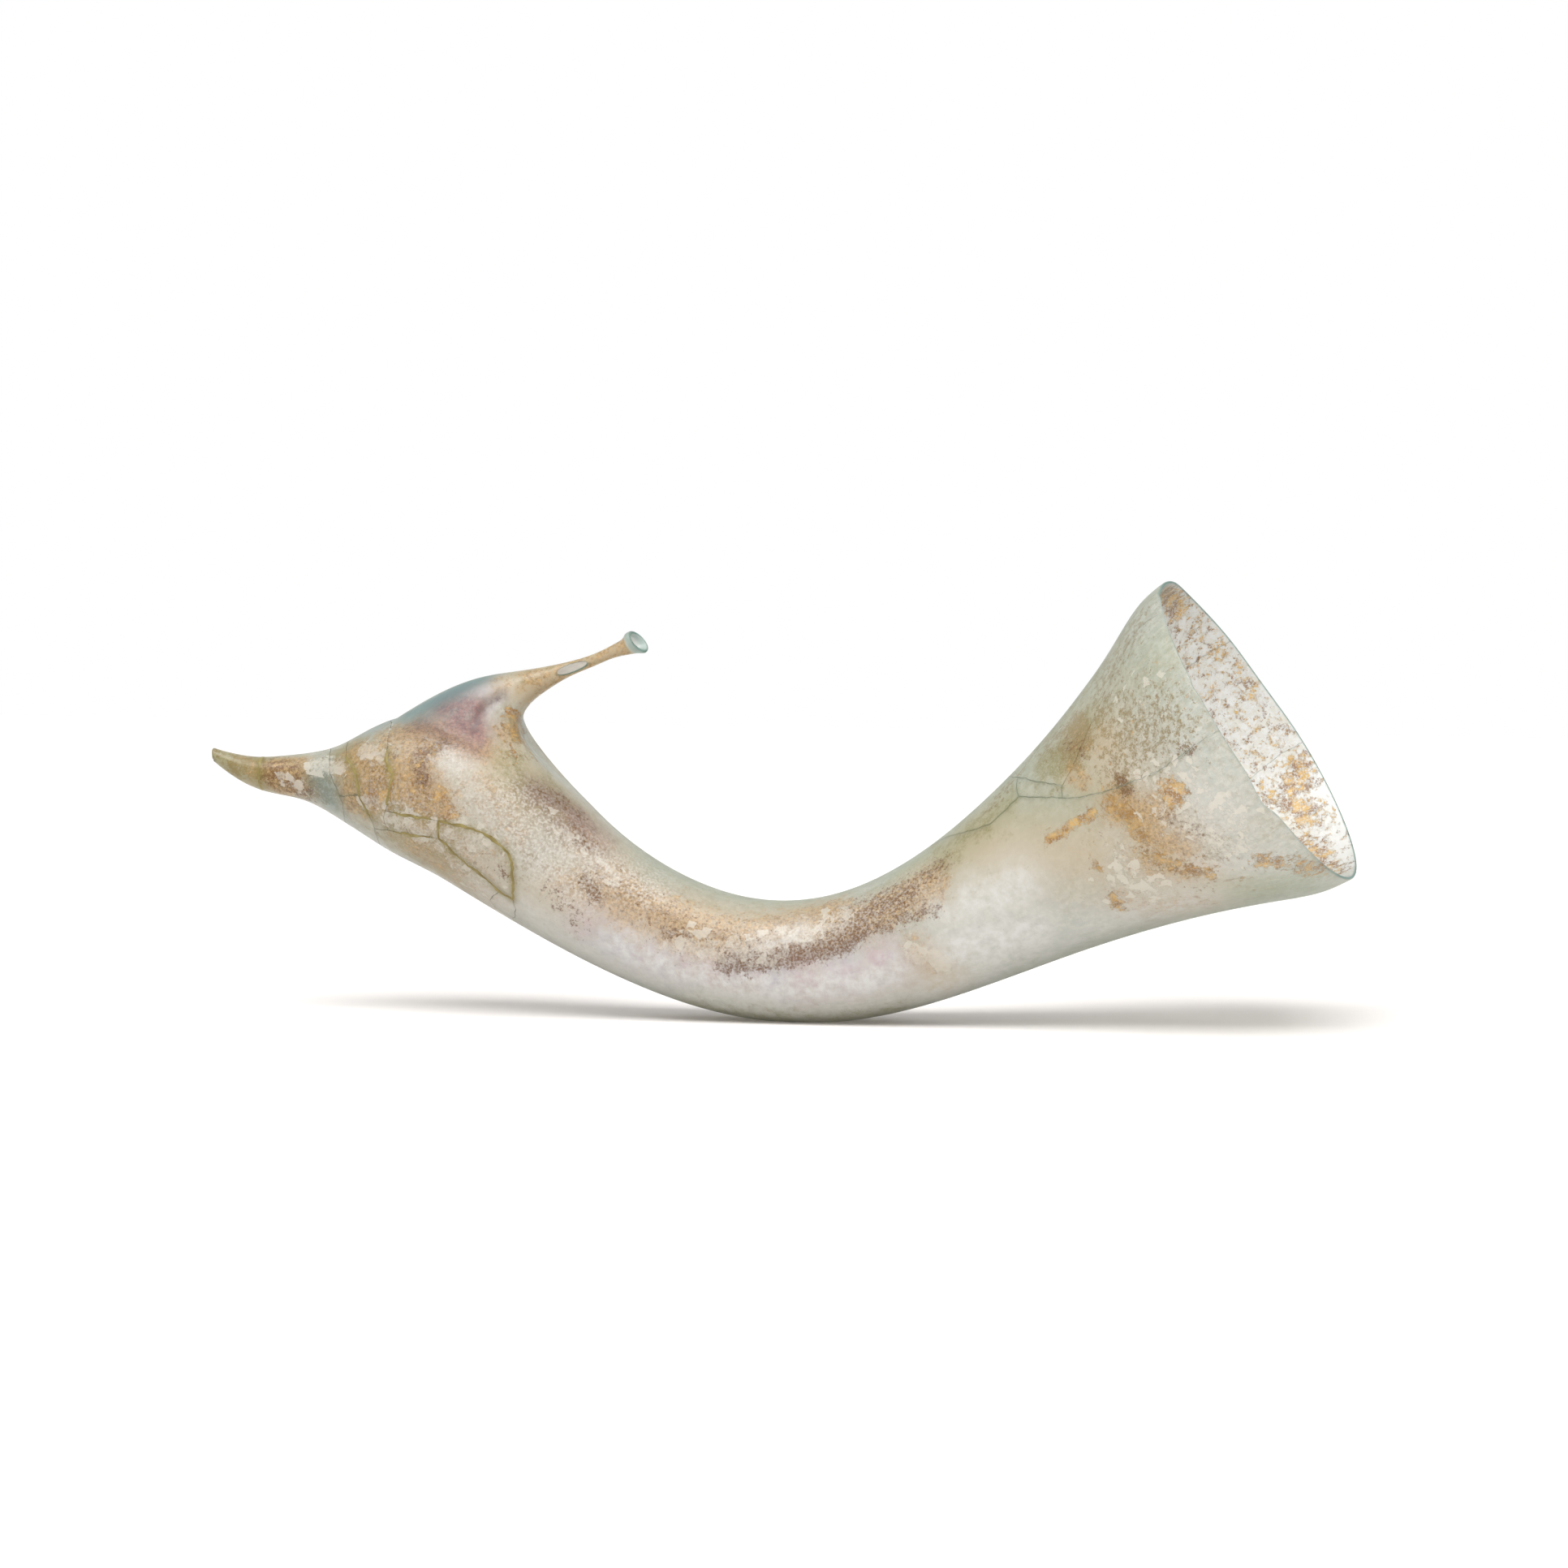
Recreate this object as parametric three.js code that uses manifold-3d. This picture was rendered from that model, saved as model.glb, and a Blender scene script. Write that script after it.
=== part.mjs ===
// A free-blown glass rhyton: a bent horn with a flared mouth, a pierced spout and a drawn-out tail.
// The glass is broken and mended, so each sherd between two breaks is a piece of its own, and so is
// each bead of dried adhesive that shows in a wide join. The tail is drawn from the vessel's own wall.
// Units are millimetres. +X points from the spout to the mouth, +Z is up, and Y = 0 is the plane that
// the horn bends in. The origin is the middle of the flat that the belly rests on.
import * as THREE from "three";
import Module from "manifold-3d";
import { mergeVertices } from "three/addons/utils/BufferGeometryUtils.js";

const wasm = await Module();
wasm.setup();

// Outer radii of the horn. The last stretch of the flare follows the mouth, by how much narrower it is
// just behind the rim and a little further in.
const mouthRadius = 39.1;
const lipInset = 0.4;
const flareEdgeInset = 2.9;
const flareRadius = 28.2;
const throatRadius = 20.9;
const neckRadius = 16.5;
const bellyRadius = 14.5;
const underBellyRadius = 13.6;
const waistRadius = 13.7;
const shoulderRadius = 15.6;
const headBackRadius = 17.9;
const headRadius = 18.4;
const headFrontRadius = 17.8;
const muzzleRadius = 15.9;
const muzzleTaperRadius = 12.3;
const spoutRootRadius = 7.8;
const spoutStemRadius = 5.2;
const spoutRadius = 4.1;
const spoutEndRadius = 2.8;
const spoutTipRadius = 1.7;

// Wall thickness, thin at the mouth and heavier towards the spout
const rimWall = 0.8;
const throatWall = 1;
const bellyWall = 1.35;
const headWall = 1.5;
const spoutWall = 1.4;
const spoutEndWall = 1;
const spoutTipWall = 0.8;

// The tail and the place on the horn's back that it is drawn out of
const tailRootRadius = 2.9;
const tailTaperRadius = 2.2;
const tailThinRadius = 1.55;
const tailStemRadius = 1.3;
const tailBendRadius = 1.4;
const tailBellRadius = 1.9;
const tailFlareRadius = 2.5;
const tailWall = 0.55;
const tailRootStart = 177;
const tailRootEnd = 229;
const tailRootHalfTurn = 48;

// How far the root's curve runs along the horn before it rises, and how far it runs along the tail,
// on the spout's side and on the mouth's side, and by what share it runs less far on the two flanks
const spoutSideReach = 20;
const spoutSideRise = 6.7;
const mouthSideReach = 19;
const spoutSidePull = 10.5;
const mouthSidePull = 15.5;
const flankShortening = 0.5;

// The break in the near side of the tail
const tailHoleLength = 7.6;
const tailHoleWidth = 2.2;
const tailHoleDepth = 2.9;
const tailHoleAt = 8.5;

// The chip in the spout's lip, and how far round the lip it lies
const spoutChip = 1.3;
const spoutChipAt = 150;

// How far the round belly is flattened where it rests
const restDepth = 0.45;

// Breaks and mends
const breakGap = 0.3;
const beadWidth = 0.8;
const beadProud = 0.15;

// How finely the surfaces are divided
const columns = 30;
const samplesPerSpan = 24;
const turn = 360;

// The centre line from the mouth to the spout's tip: x, height over the round belly's lowest point,
// outer radius and wall.
const stations = [
  { x: 105.4, z: 68.2, radius: mouthRadius, wall: rimWall },
  { x: 101.1, z: 65.5, radius: mouthRadius - lipInset, wall: rimWall },
  { x: 94.5, z: 61.4, radius: mouthRadius - flareEdgeInset, wall: rimWall },
  { x: 77, z: 50.1, radius: flareRadius, wall: throatWall },
  { x: 55, z: 36.2, radius: throatRadius, wall: throatWall },
  { x: 32, z: 23.2, radius: neckRadius, wall: throatWall },
  { x: 9.2, z: 15.2, radius: bellyRadius, wall: bellyWall },
  { x: -13.3, z: 14.7, radius: underBellyRadius, wall: bellyWall },
  { x: -35.7, z: 21.7, radius: waistRadius, wall: bellyWall },
  { x: -56.5, z: 33.9, radius: shoulderRadius, wall: bellyWall },
  { x: -70.5, z: 44.6, radius: headBackRadius, wall: headWall },
  { x: -78.5, z: 49.8, radius: headRadius, wall: headWall },
  { x: -86.5, z: 52.3, radius: headFrontRadius, wall: headWall },
  { x: -94, z: 53.1, radius: muzzleRadius, wall: headWall },
  { x: -101.5, z: 53.5, radius: muzzleTaperRadius, wall: headWall },
  { x: -109.1, z: 53.7, radius: spoutRootRadius, wall: spoutWall },
  { x: -116.5, z: 54.6, radius: spoutStemRadius, wall: spoutWall },
  { x: -125, z: 54.8, radius: spoutRadius, wall: spoutWall },
  { x: -131.5, z: 56.3, radius: spoutEndRadius, wall: spoutEndWall },
  { x: -136.6, z: 59.2, radius: spoutTipRadius, wall: spoutTipWall },
];

// The tail's own centre line, from where it leaves the horn's back to its flared, fire-polished end
const tailStations = [
  { x: -61.4, z: 77.4, radius: tailRootRadius, wall: tailWall },
  { x: -58.2, z: 78.7, radius: tailTaperRadius, wall: tailWall },
  { x: -53.7, z: 80.4, radius: tailThinRadius, wall: tailWall },
  { x: -49, z: 82.1, radius: tailStemRadius, wall: tailWall },
  { x: -44.5, z: 84.1, radius: tailBendRadius, wall: tailWall },
  { x: -41.2, z: 85.4, radius: tailBellRadius, wall: tailWall },
  { x: -38, z: 86.1, radius: tailFlareRadius, wall: tailWall },
];

// A smooth run through a list of stations, read by the distance along it. The curve's y holds the
// radius, so that the radius is as smooth as the centre line.
class Run {
  constructor(list) {
    const curve = new THREE.CatmullRomCurve3(
      list.map((station) => new THREE.Vector3(station.x, station.radius, station.z)),
    );
    const count = (list.length - 1) * samplesPerSpan;
    this.samples = [];
    let distance = 0;
    for (let i = 0; i <= count; i++) {
      const point = curve.getPoint(i / count);
      const span = Math.min(Math.floor(i / samplesPerSpan), list.length - 2);
      const share = i / samplesPerSpan - span;
      if (i > 0) {
        const last = this.samples[i - 1];
        distance += Math.hypot(point.x - last.x, point.z - last.z);
      }
      this.samples.push({
        distance,
        x: point.x,
        z: point.z,
        radius: point.y,
        wall: THREE.MathUtils.lerp(list[span].wall, list[span + 1].wall, share),
      });
    }
    this.length = distance;
  }

  // Centre, radius and wall at a distance along the run, drawn straight on past either end
  at(distance) {
    const samples = this.samples;
    let high = samples.findIndex((sample) => sample.distance >= distance);
    if (high < 0) high = samples.length - 1;
    if (high === 0) high = 1;
    const from = samples[high - 1];
    const to = samples[high];
    const share = (distance - from.distance) / (to.distance - from.distance);
    return {
      x: from.x + (to.x - from.x) * share,
      z: from.z + (to.z - from.z) * share,
      radius: from.radius + (to.radius - from.radius) * share,
      wall: from.wall + (to.wall - from.wall) * share,
    };
  }

  // Unit direction along the run, averaged over the reach on both sides
  direction(distance, reach) {
    const from = this.at(Math.max(distance - reach, 0));
    const to = this.at(Math.min(distance + reach, this.length));
    return new THREE.Vector3(to.x - from.x, 0, to.z - from.z).normalize();
  }
}

const hornReach = 6;
const horn = new Run(stations);
const tailReach = 1;
const tail = new Run(tailStations);
const near = new THREE.Vector3(0, -1, 0);

// A point on a run's outer surface. The angle is in degrees, from the upper side towards the near side.
function onRun(run, reach, distance, degrees) {
  const centre = run.at(distance);
  const along = run.direction(distance, reach);
  const upper = new THREE.Vector3().crossVectors(near, along);
  if (upper.z < 0) upper.negate();
  const angle = THREE.MathUtils.degToRad(degrees);
  return new THREE.Vector3(centre.x, 0, centre.z)
    .addScaledVector(upper, centre.radius * Math.cos(angle))
    .addScaledVector(near, centre.radius * Math.sin(angle));
}

const onHorn = (distance, degrees) => onRun(horn, hornReach, distance, degrees);
const onTail = (distance, degrees) => onRun(tail, tailReach, distance, degrees);

// Outward normal of the horn
function hornNormal(distance, degrees) {
  const step = 0.5;
  const here = onHorn(distance, degrees);
  const on = onHorn(distance + step, degrees).sub(here);
  const round = onHorn(distance, degrees + step).sub(here);
  return on.cross(round).normalize();
}

// Distances from one place on the horn to another, closer together where the horn is thin
function spread(from, to) {
  const finest = 3;
  const coarsest = 7;
  const share = 0.34;
  const step = THREE.MathUtils.clamp(horn.at((from + to) / 2).radius * share, finest, coarsest);
  const count = Math.max(1, Math.round((to - from) / step));
  return Array.from({ length: count }, (_, i) => from + ((to - from) * i) / count);
}

// The whole vessel as one closed wall, before it is broken: the outer surface with the tail drawn out
// of it, the same surface again one wall further in, and a rounded lip round each of the three mouths.
function vesselWall() {
  const flareEnd = 60;
  const bellyStart = 110;
  const spoutStart = 244;
  const rings = [
    ...spread(0, flareEnd),
    ...spread(flareEnd, bellyStart),
    ...spread(bellyStart, tailRootStart),
    ...spread(tailRootStart, tailRootEnd),
    ...spread(tailRootEnd, spoutStart),
    ...spread(spoutStart, horn.length),
    horn.length,
  ];
  const firstHoleRing = rings.indexOf(tailRootStart);
  const lastHoleRing = rings.indexOf(tailRootEnd);
  const holeColumns = Math.round((tailRootHalfTurn / turn) * columns);
  const outer = [];
  const walls = [];
  const put = (point, wall) => {
    outer.push(point);
    walls.push(wall);
    return outer.length - 1;
  };
  const hornIndex = rings.map((distance) =>
    Array.from({ length: columns }, (_, j) =>
      put(onHorn(distance, (j * turn) / columns), horn.at(distance).wall),
    ),
  );
  const faces = [];
  const quad = (a, b, c, d) => faces.push([a, b, c], [a, c, d]);
  const inHole = (j) => j < holeColumns || j >= columns - holeColumns;
  for (let i = 0; i + 1 < rings.length; i++) {
    for (let j = 0; j < columns; j++) {
      if (i >= firstHoleRing && i < lastHoleRing && inHole(j)) continue;
      const next = (j + 1) % columns;
      quad(hornIndex[i][j], hornIndex[i + 1][j], hornIndex[i + 1][next], hornIndex[i][next]);
    }
  }

  // The edge of the hole that the tail fills, from the spout side round by the near side
  const edge = [];
  const column = (j) => (j + columns) % columns;
  for (let j = 0; j < holeColumns; j++) edge.push(hornIndex[lastHoleRing][j]);
  for (let i = lastHoleRing; i > firstHoleRing; i--) edge.push(hornIndex[i][holeColumns]);
  for (let j = holeColumns; j > -holeColumns; j--) edge.push(hornIndex[firstHoleRing][column(j)]);
  for (let i = firstHoleRing; i < lastHoleRing; i++) edge.push(hornIndex[i][column(-holeColumns)]);
  for (let j = -holeColumns; j < 0; j++) edge.push(hornIndex[lastHoleRing][column(j)]);

  // The tail's root: across the horn to an oval, then out along a curve that leaves the horn along its
  // surface and meets the tail along the tail's own side
  const middle = (tailRootStart + tailRootEnd) / 2;
  const halfLength = (tailRootEnd - tailRootStart) / 2;
  const ovalShare = 0.86;
  const insideOval = 0.76;
  const tailStart = 0.4;
  const rootRows = 5;
  const tailRings = 8;
  const backNormal = hornNormal(tailRootEnd, 0);
  const onRoot = (share, degrees) => {
    const angle = THREE.MathUtils.degToRad(degrees);
    return onHorn(
      middle + halfLength * share * Math.cos(angle),
      tailRootHalfTurn * share * Math.sin(angle),
    );
  };
  const rows = [edge];
  const degreesAt = (k) => (k * turn) / edge.length;
  const rowOf = (make, wall) => rows.push(edge.map((_, k) => put(make(degreesAt(k)), wall)));
  rowOf((degrees) => onRoot(ovalShare, degrees), headWall);
  for (let i = 1; i < rootRows; i++) {
    const share = i / rootRows;
    const wall = THREE.MathUtils.lerp(headWall, tailWall, share);
    rowOf((degrees) => {
      const angle = THREE.MathUtils.degToRad(degrees);
      const spoutSide = (1 + Math.cos(angle)) / 2;
      const flank = 1 - flankShortening * Math.sin(angle) ** 2;
      const reach = THREE.MathUtils.lerp(mouthSideReach, spoutSideReach, spoutSide) * flank;
      const pull = THREE.MathUtils.lerp(mouthSidePull, spoutSidePull, spoutSide);
      const start = onRoot(ovalShare, degrees);
      const leaves = onRoot(insideOval, degrees)
        .sub(start)
        .setLength(reach)
        .addScaledVector(backNormal, spoutSideRise * spoutSide);
      const end = onTail(0, degrees);
      const meets = onTail(tailStart, degrees).sub(end).setLength(pull);
      const curve = new THREE.CubicBezierCurve3(
        start,
        start.clone().add(leaves),
        end.clone().sub(meets),
        end,
      );
      return curve.getPoint(share);
    }, wall);
  }
  for (let i = 0; i <= tailRings; i++) {
    const distance = (tail.length * i) / tailRings;
    rowOf((degrees) => onTail(distance, degrees), tailWall);
  }
  for (let i = 0; i + 1 < rows.length; i++) {
    for (let k = 0; k < edge.length; k++) {
      const next = (k + 1) % edge.length;
      quad(rows[i][k], rows[i][next], rows[i + 1][next], rows[i + 1][k]);
    }
  }

  // The inner surface lies one wall inside the outer one
  const skin = new THREE.BufferGeometry().setFromPoints(outer);
  skin.setIndex(faces.flat());
  skin.computeVertexNormals();
  const normals = skin.getAttribute("normal");
  const inward = new THREE.Vector3();
  const inner = outer.map((point, i) =>
    point.clone().addScaledVector(inward.fromBufferAttribute(normals, i), -walls[i]),
  );
  const points = [...outer, ...inner];
  const all = [...faces, ...faces.map(([a, b, c]) => [a, c, b].map((i) => i + outer.length))];

  // A lip is half round from the outer edge to the inner one
  const lip = (mouth, behind) => {
    const lipSteps = 3;
    const bands = [mouth];
    for (let step = 1; step < lipSteps; step++) {
      const angle = (Math.PI * step) / lipSteps;
      bands.push(
        mouth.map((vertex, k) => {
          const out = outer[vertex].clone().sub(outer[behind[k]]).normalize();
          const across = outer[vertex].clone().sub(inner[vertex]).multiplyScalar(0.5);
          const centre = outer[vertex].clone().add(inner[vertex]).multiplyScalar(0.5);
          points.push(
            centre
              .addScaledVector(across, Math.cos(angle))
              .addScaledVector(out, across.length() * Math.sin(angle)),
          );
          return points.length - 1;
        }),
      );
    }
    bands.push(mouth.map((vertex) => vertex + outer.length));
    for (let i = 0; i + 1 < bands.length; i++) {
      for (let k = 0; k < mouth.length; k++) {
        const next = (k + 1) % mouth.length;
        const corners = [bands[i][k], bands[i][next], bands[i + 1][next], bands[i + 1][k]];
        all.push([corners[0], corners[1], corners[2]], [corners[0], corners[2], corners[3]]);
      }
    }
  };
  lip(hornIndex[0], hornIndex[1]);
  lip([...hornIndex.at(-1)].reverse(), [...hornIndex.at(-2)].reverse());
  lip(rows.at(-1), rows.at(-2));
  return solid(points, all);
}

// A closed set of faces as a solid, with its faces turned outwards
function solid(points, faces) {
  const vertProperties = new Float32Array(points.flatMap((point) => [point.x, point.y, point.z]));
  const make = (list) =>
    new wasm.Manifold(new wasm.Mesh({ numProp: 3, vertProperties, triVerts: new Uint32Array(list) }));
  const made = make(faces.flat());
  return made.volume() > 0 ? made : make(faces.flatMap(([a, b, c]) => [a, c, b]));
}

// A three.js geometry as a solid
function solidOf(geometry) {
  geometry.deleteAttribute("normal");
  geometry.deleteAttribute("uv");
  const merged = mergeVertices(geometry);
  const positions = merged.getAttribute("position");
  const points = Array.from({ length: positions.count }, (_, i) =>
    new THREE.Vector3().fromBufferAttribute(positions, i),
  );
  const index = Array.from(merged.index.array);
  const faces = [];
  for (let i = 0; i < index.length; i += 3) faces.push(index.slice(i, i + 3));
  return solid(points, faces);
}

// An ellipsoid with its long axis along a direction in the plane of the bend
function ellipsoid(centre, along, length, depth, width) {
  const segments = 16;
  const geometry = new THREE.SphereGeometry(0.5, segments, segments / 2);
  geometry.scale(length, depth, width);
  geometry.rotateY(-Math.atan2(along.z, along.x));
  geometry.translate(centre.x, centre.y, centre.z);
  return solidOf(geometry);
}

// Places on a path of [distance, degrees] corners, close enough together to follow the horn
function followed(path, closed) {
  const longest = 3.4;
  const corners = closed ? [...path, path[0]] : path;
  const places = [];
  for (let i = 0; i + 1 < corners.length; i++) {
    const [fromDistance, fromDegrees] = corners[i];
    let [toDistance, toDegrees] = corners[i + 1];
    if (closed && i + 2 === corners.length && fromDegrees - toDegrees > turn / 2) toDegrees += turn;
    const length = onHorn(fromDistance, fromDegrees).distanceTo(onHorn(toDistance, toDegrees));
    const count = Math.max(1, Math.ceil(length / longest));
    for (let k = 0; k < count; k++) {
      const share = k / count;
      places.push([
        THREE.MathUtils.lerp(fromDistance, toDistance, share),
        THREE.MathUtils.lerp(fromDegrees, toDegrees, share),
      ]);
    }
  }
  if (!closed) places.push(corners.at(-1));
  return places;
}

// A thin strip that stands on edge in the horn's wall along a path: it reaches past the outer surface
// by the first margin and past the inner one by the second.
function strip(path, width, outside, inside, closed = false) {
  const places = followed(path, closed);
  const count = places.length;
  const points = places.map(([distance, degrees]) => onHorn(distance, degrees));
  const sideways = (i, normal) => {
    const last = closed ? (i + count - 1) % count : Math.max(i - 1, 0);
    const next = closed ? (i + 1) % count : Math.min(i + 1, count - 1);
    const before = points[i].clone().sub(points[last]).cross(normal).normalize();
    const after = points[next].clone().sub(points[i]).cross(normal).normalize();
    if (before.lengthSq() === 0) return after;
    if (after.lengthSq() === 0) return before;
    const both = before.clone().add(after).normalize();
    return both.divideScalar(Math.max(both.dot(before), 0.5));
  };
  const corners = places.flatMap(([distance, degrees], i) => {
    const normal = hornNormal(distance, degrees);
    const side = sideways(i, normal).multiplyScalar(width / 2);
    const top = points[i].clone().addScaledVector(normal, outside);
    const bottom = points[i].clone().addScaledVector(normal, -horn.at(distance).wall - inside);
    return [
      top.clone().add(side),
      bottom.clone().add(side),
      bottom.clone().sub(side),
      top.clone().sub(side),
    ];
  });
  const faces = [];
  const spans = closed ? count : count - 1;
  for (let i = 0; i < spans; i++) {
    const here = 4 * i;
    const next = 4 * ((i + 1) % count);
    for (let k = 0; k < 4; k++) {
      const turned = (k + 1) % 4;
      faces.push([here + k, next + k, next + turned], [here + k, next + turned, here + turned]);
    }
  }
  if (!closed) {
    const end = 4 * (count - 1);
    faces.push([0, 1, 2], [0, 2, 3], [end, end + 2, end + 1], [end, end + 3, end + 2]);
  }
  return solid(corners, faces);
}

// Places where breaks meet, as [distance from the mouth along the centre line, degrees round the horn
// from its upper side towards the near side]
const pastRim = -1.5;
const squareTopLeft = [51.8, 25.5];
const squareLowerLeft = [53, 42];
const squareLowerRight = [43.2, 63.5];
const squareTopRight = [42, 58];
const farMeeting = [62, -34];
const collarFoot = [226.8, 131];
const collarFar = [230, 235];
const collarTop = [234.5, 325];
const bandCorner = [223.4, 107.3];
const bandFoot = [223, 126];
const ovalUpperLeft = [208.8, 103];
const ovalLowerLeft = [207.2, 115.5];
const ovalPoint = [184, 127];
const triangleTop = [187.5, 127];
const triangleFoot = [182.5, 155];

// Breaks that the sherds have come apart along
const breaks = {
  square: [
    squareTopLeft, [52.8, 34], squareLowerLeft, [49.2, 51.5],
    squareLowerRight, squareTopRight, [47.8, 42],
  ],
  squareToTop: [squareTopLeft, [53.2, 19.5], [55, 5], [58, -15], farMeeting],
  flareFront: [
    squareLowerRight, [39.8, 69], [33.5, 75], [29.5, 77.5], [19.5, 82.5], [10, 84], [pastRim, 84.5],
  ],
  flareUpper: [
    squareTopRight, [38.2, 54.5], [30, 44.5], [22.2, 36], [15, 31.5], [8, 29.5], [pastRim, 33],
  ],
  throat: [
    squareLowerLeft, [62, 43.5], [66.2, 38], [70.5, 29], [75.2, 16.5], [79.5, 9], [80.5, -8],
    [76, -24], farMeeting,
  ],
  farUpper: [farMeeting, [45, -44], [25, -50], [pastRim, -57]],
  farLower: [farMeeting, [62, -55], [56, -80], [42, -100], [20, -104], [5.8, -99.5], [pastRim, -100]],
  collar: [
    [235, 51.5], [233.5, 62.5], [232, 73.5], [231.2, 84], [230.2, 103], [229, 111.5], [227.8, 118],
    collarFoot, [226.5, 150], [227, 175], [228.5, 205], collarFar, [231.5, 265], [233, 300],
    collarTop, [235.5, 350], [236, 375], [235.6, 395],
  ],
  spoutRoot: [
    [239.2, 55], [238.5, 76], [237.2, 90], [235.8, 106], [235, 115], [235, 135], [235.5, 170],
    [237, 210], [239, 250], [240, 290], [240.5, 330], [240.2, 375],
  ],
  collarNear: [[235.8, 106], [230.5, 98]],
  collarBack: [[238, 230], [229.5, 225]],
  shoulder: [
    [234.5, -35], [230, -25], [227, -5], [225.5, 20], [225, 45], [224.2, 65], [222.5, 77],
    [222.8, 93.5], bandCorner, [224, 115], bandFoot,
  ],
  band: [bandCorner, [218.8, 107.5], ovalUpperLeft],
  underside: [collarFoot, bandFoot, [213.5, 121], ovalLowerLeft],
  oval: [
    ovalUpperLeft, [204.8, 99.5], [201, 95], [198.2, 92.5], [194, 92], [191.2, 93], [189, 97.5],
    [186.8, 107.5], [185.5, 116], ovalPoint, triangleTop, [191.5, 123.5], [199.5, 121],
    [202.8, 118.5], ovalLowerLeft,
  ],
  triangle: [
    ovalPoint, [182.8, 134], [182, 146], triangleFoot, [186.5, 155], [188.5, 145.5], [188.2, 135],
    triangleTop,
  ],
  undersideBack: [triangleFoot, [182, 170], [186, 192], [196, 213], [212, 228], collarFar],
  spoutTip: [
    [256.8, 37], [256.2, 82.5], [255.5, 153], [255.5, 220], [256.2, 290], [256.8, 340],
  ],
};
const closedBreaks = ["square", "collar", "spoutRoot", "oval", "spoutTip"];

// Joins that the mender's adhesive still fills, and whether each bead runs all the way round
const beads = {
  oval_join_adhesive: { path: breaks.oval, closed: true },
  spout_join_adhesive: { path: breaks.spoutTip, closed: true },
  collar_join_adhesive: { path: breaks.collar.slice(0, 7), closed: false },
  shoulder_join_adhesive: {
    path: [[224.6, 55], [224.2, 65], [222.5, 77], [222.8, 93.5], [223.2, 102.5]],
    closed: false,
  },
  band_join_adhesive: { path: [[221.5, 107.4], [218.8, 107.5], [211, 104]], closed: false },
  underside_join_adhesive: { path: [[221, 125], [213.5, 121], [209.8, 118]], closed: false },
};

// A place in the middle of each sherd's face, by the sherd's name
const sherds = {
  main_body: [130, 90],
  flare_top_sherd: [25, -10],
  flare_front_sherd: [20, 60],
  flare_far_sherd: [30, -75],
  throat_top_sherd: [67, 0],
  square_sherd: [48.5, 46],
  oval_sherd: [196, 107],
  triangle_sherd: [185.4, 144],
  band_sherd: [215, 113],
  underside_sherd: [205, 160],
  shoulder_front_sherd: [227, 80],
  collar_upper_sherd: [235, 80],
  collar_lower_sherd: [231, 150],
  spout_root: [247, 90],
  spout_tip: [262, 90],
};

// The vessel's wall with its rest flat, its worn tip and the hole in its tail, still in one piece
function finishedWall(floor) {
  const margin = 20;
  const ground = new THREE.BoxGeometry(horn.length, 2 * mouthRadius, margin);
  ground.translate(0, 0, floor - margin / 2);
  const hole = ellipsoid(
    onTail(tailHoleAt, 90),
    tail.direction(tailHoleAt, tailReach),
    tailHoleLength,
    tailHoleDepth,
    tailHoleWidth,
  );
  const chip = ellipsoid(onHorn(horn.length, spoutChipAt), near, spoutChip, spoutChip, spoutChip);
  return vesselWall().subtract(solidOf(ground)).subtract(hole).subtract(chip);
}

// The lowest point of the round belly
function lowestPoint() {
  const step = 0.5;
  let lowest = onHorn(0, turn / 2);
  for (let distance = 0; distance < horn.length; distance += step) {
    const point = onHorn(distance, turn / 2);
    if (point.z < lowest.z) lowest = point;
  }
  return lowest;
}

// Breaks the wall along every break, each bead's join being wider by the bead
function brokenWall(wall) {
  const reach = 1;
  let broken = wall;
  for (const [name, path] of Object.entries(breaks)) {
    broken = broken.subtract(strip(path, breakGap, reach, reach, closedBreaks.includes(name)));
  }
  for (const bead of Object.values(beads)) {
    broken = broken.subtract(strip(bead.path, beadWidth + 2 * breakGap, reach, reach, bead.closed));
  }
  return broken.decompose();
}

// Whether a piece of the wall holds a place on the horn
function holds(piece, [distance, degrees]) {
  const probeSize = 0.2;
  const centre = onHorn(distance, degrees);
  centre.addScaledVector(hornNormal(distance, degrees), -horn.at(distance).wall / 2);
  const probe = new THREE.BoxGeometry(probeSize, probeSize, probeSize);
  probe.translate(centre.x, centre.y, centre.z);
  return piece.intersect(solidOf(probe)).volume() > 0;
}

// A bead stops short of the end of its join by the same gap that it keeps at its sides
function beadSolid({ path, closed }) {
  if (closed) return strip(path, beadWidth, beadProud, 0, true);
  const shortened = (end, next) => {
    const share = breakGap / onHorn(...end).distanceTo(onHorn(...next));
    return end.map((value, i) => THREE.MathUtils.lerp(value, next[i], share));
  };
  const inside = [
    shortened(path[0], path[1]),
    ...path.slice(1, -1),
    shortened(path.at(-1), path.at(-2)),
  ];
  return strip(inside, beadWidth, beadProud, 0);
}

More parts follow.
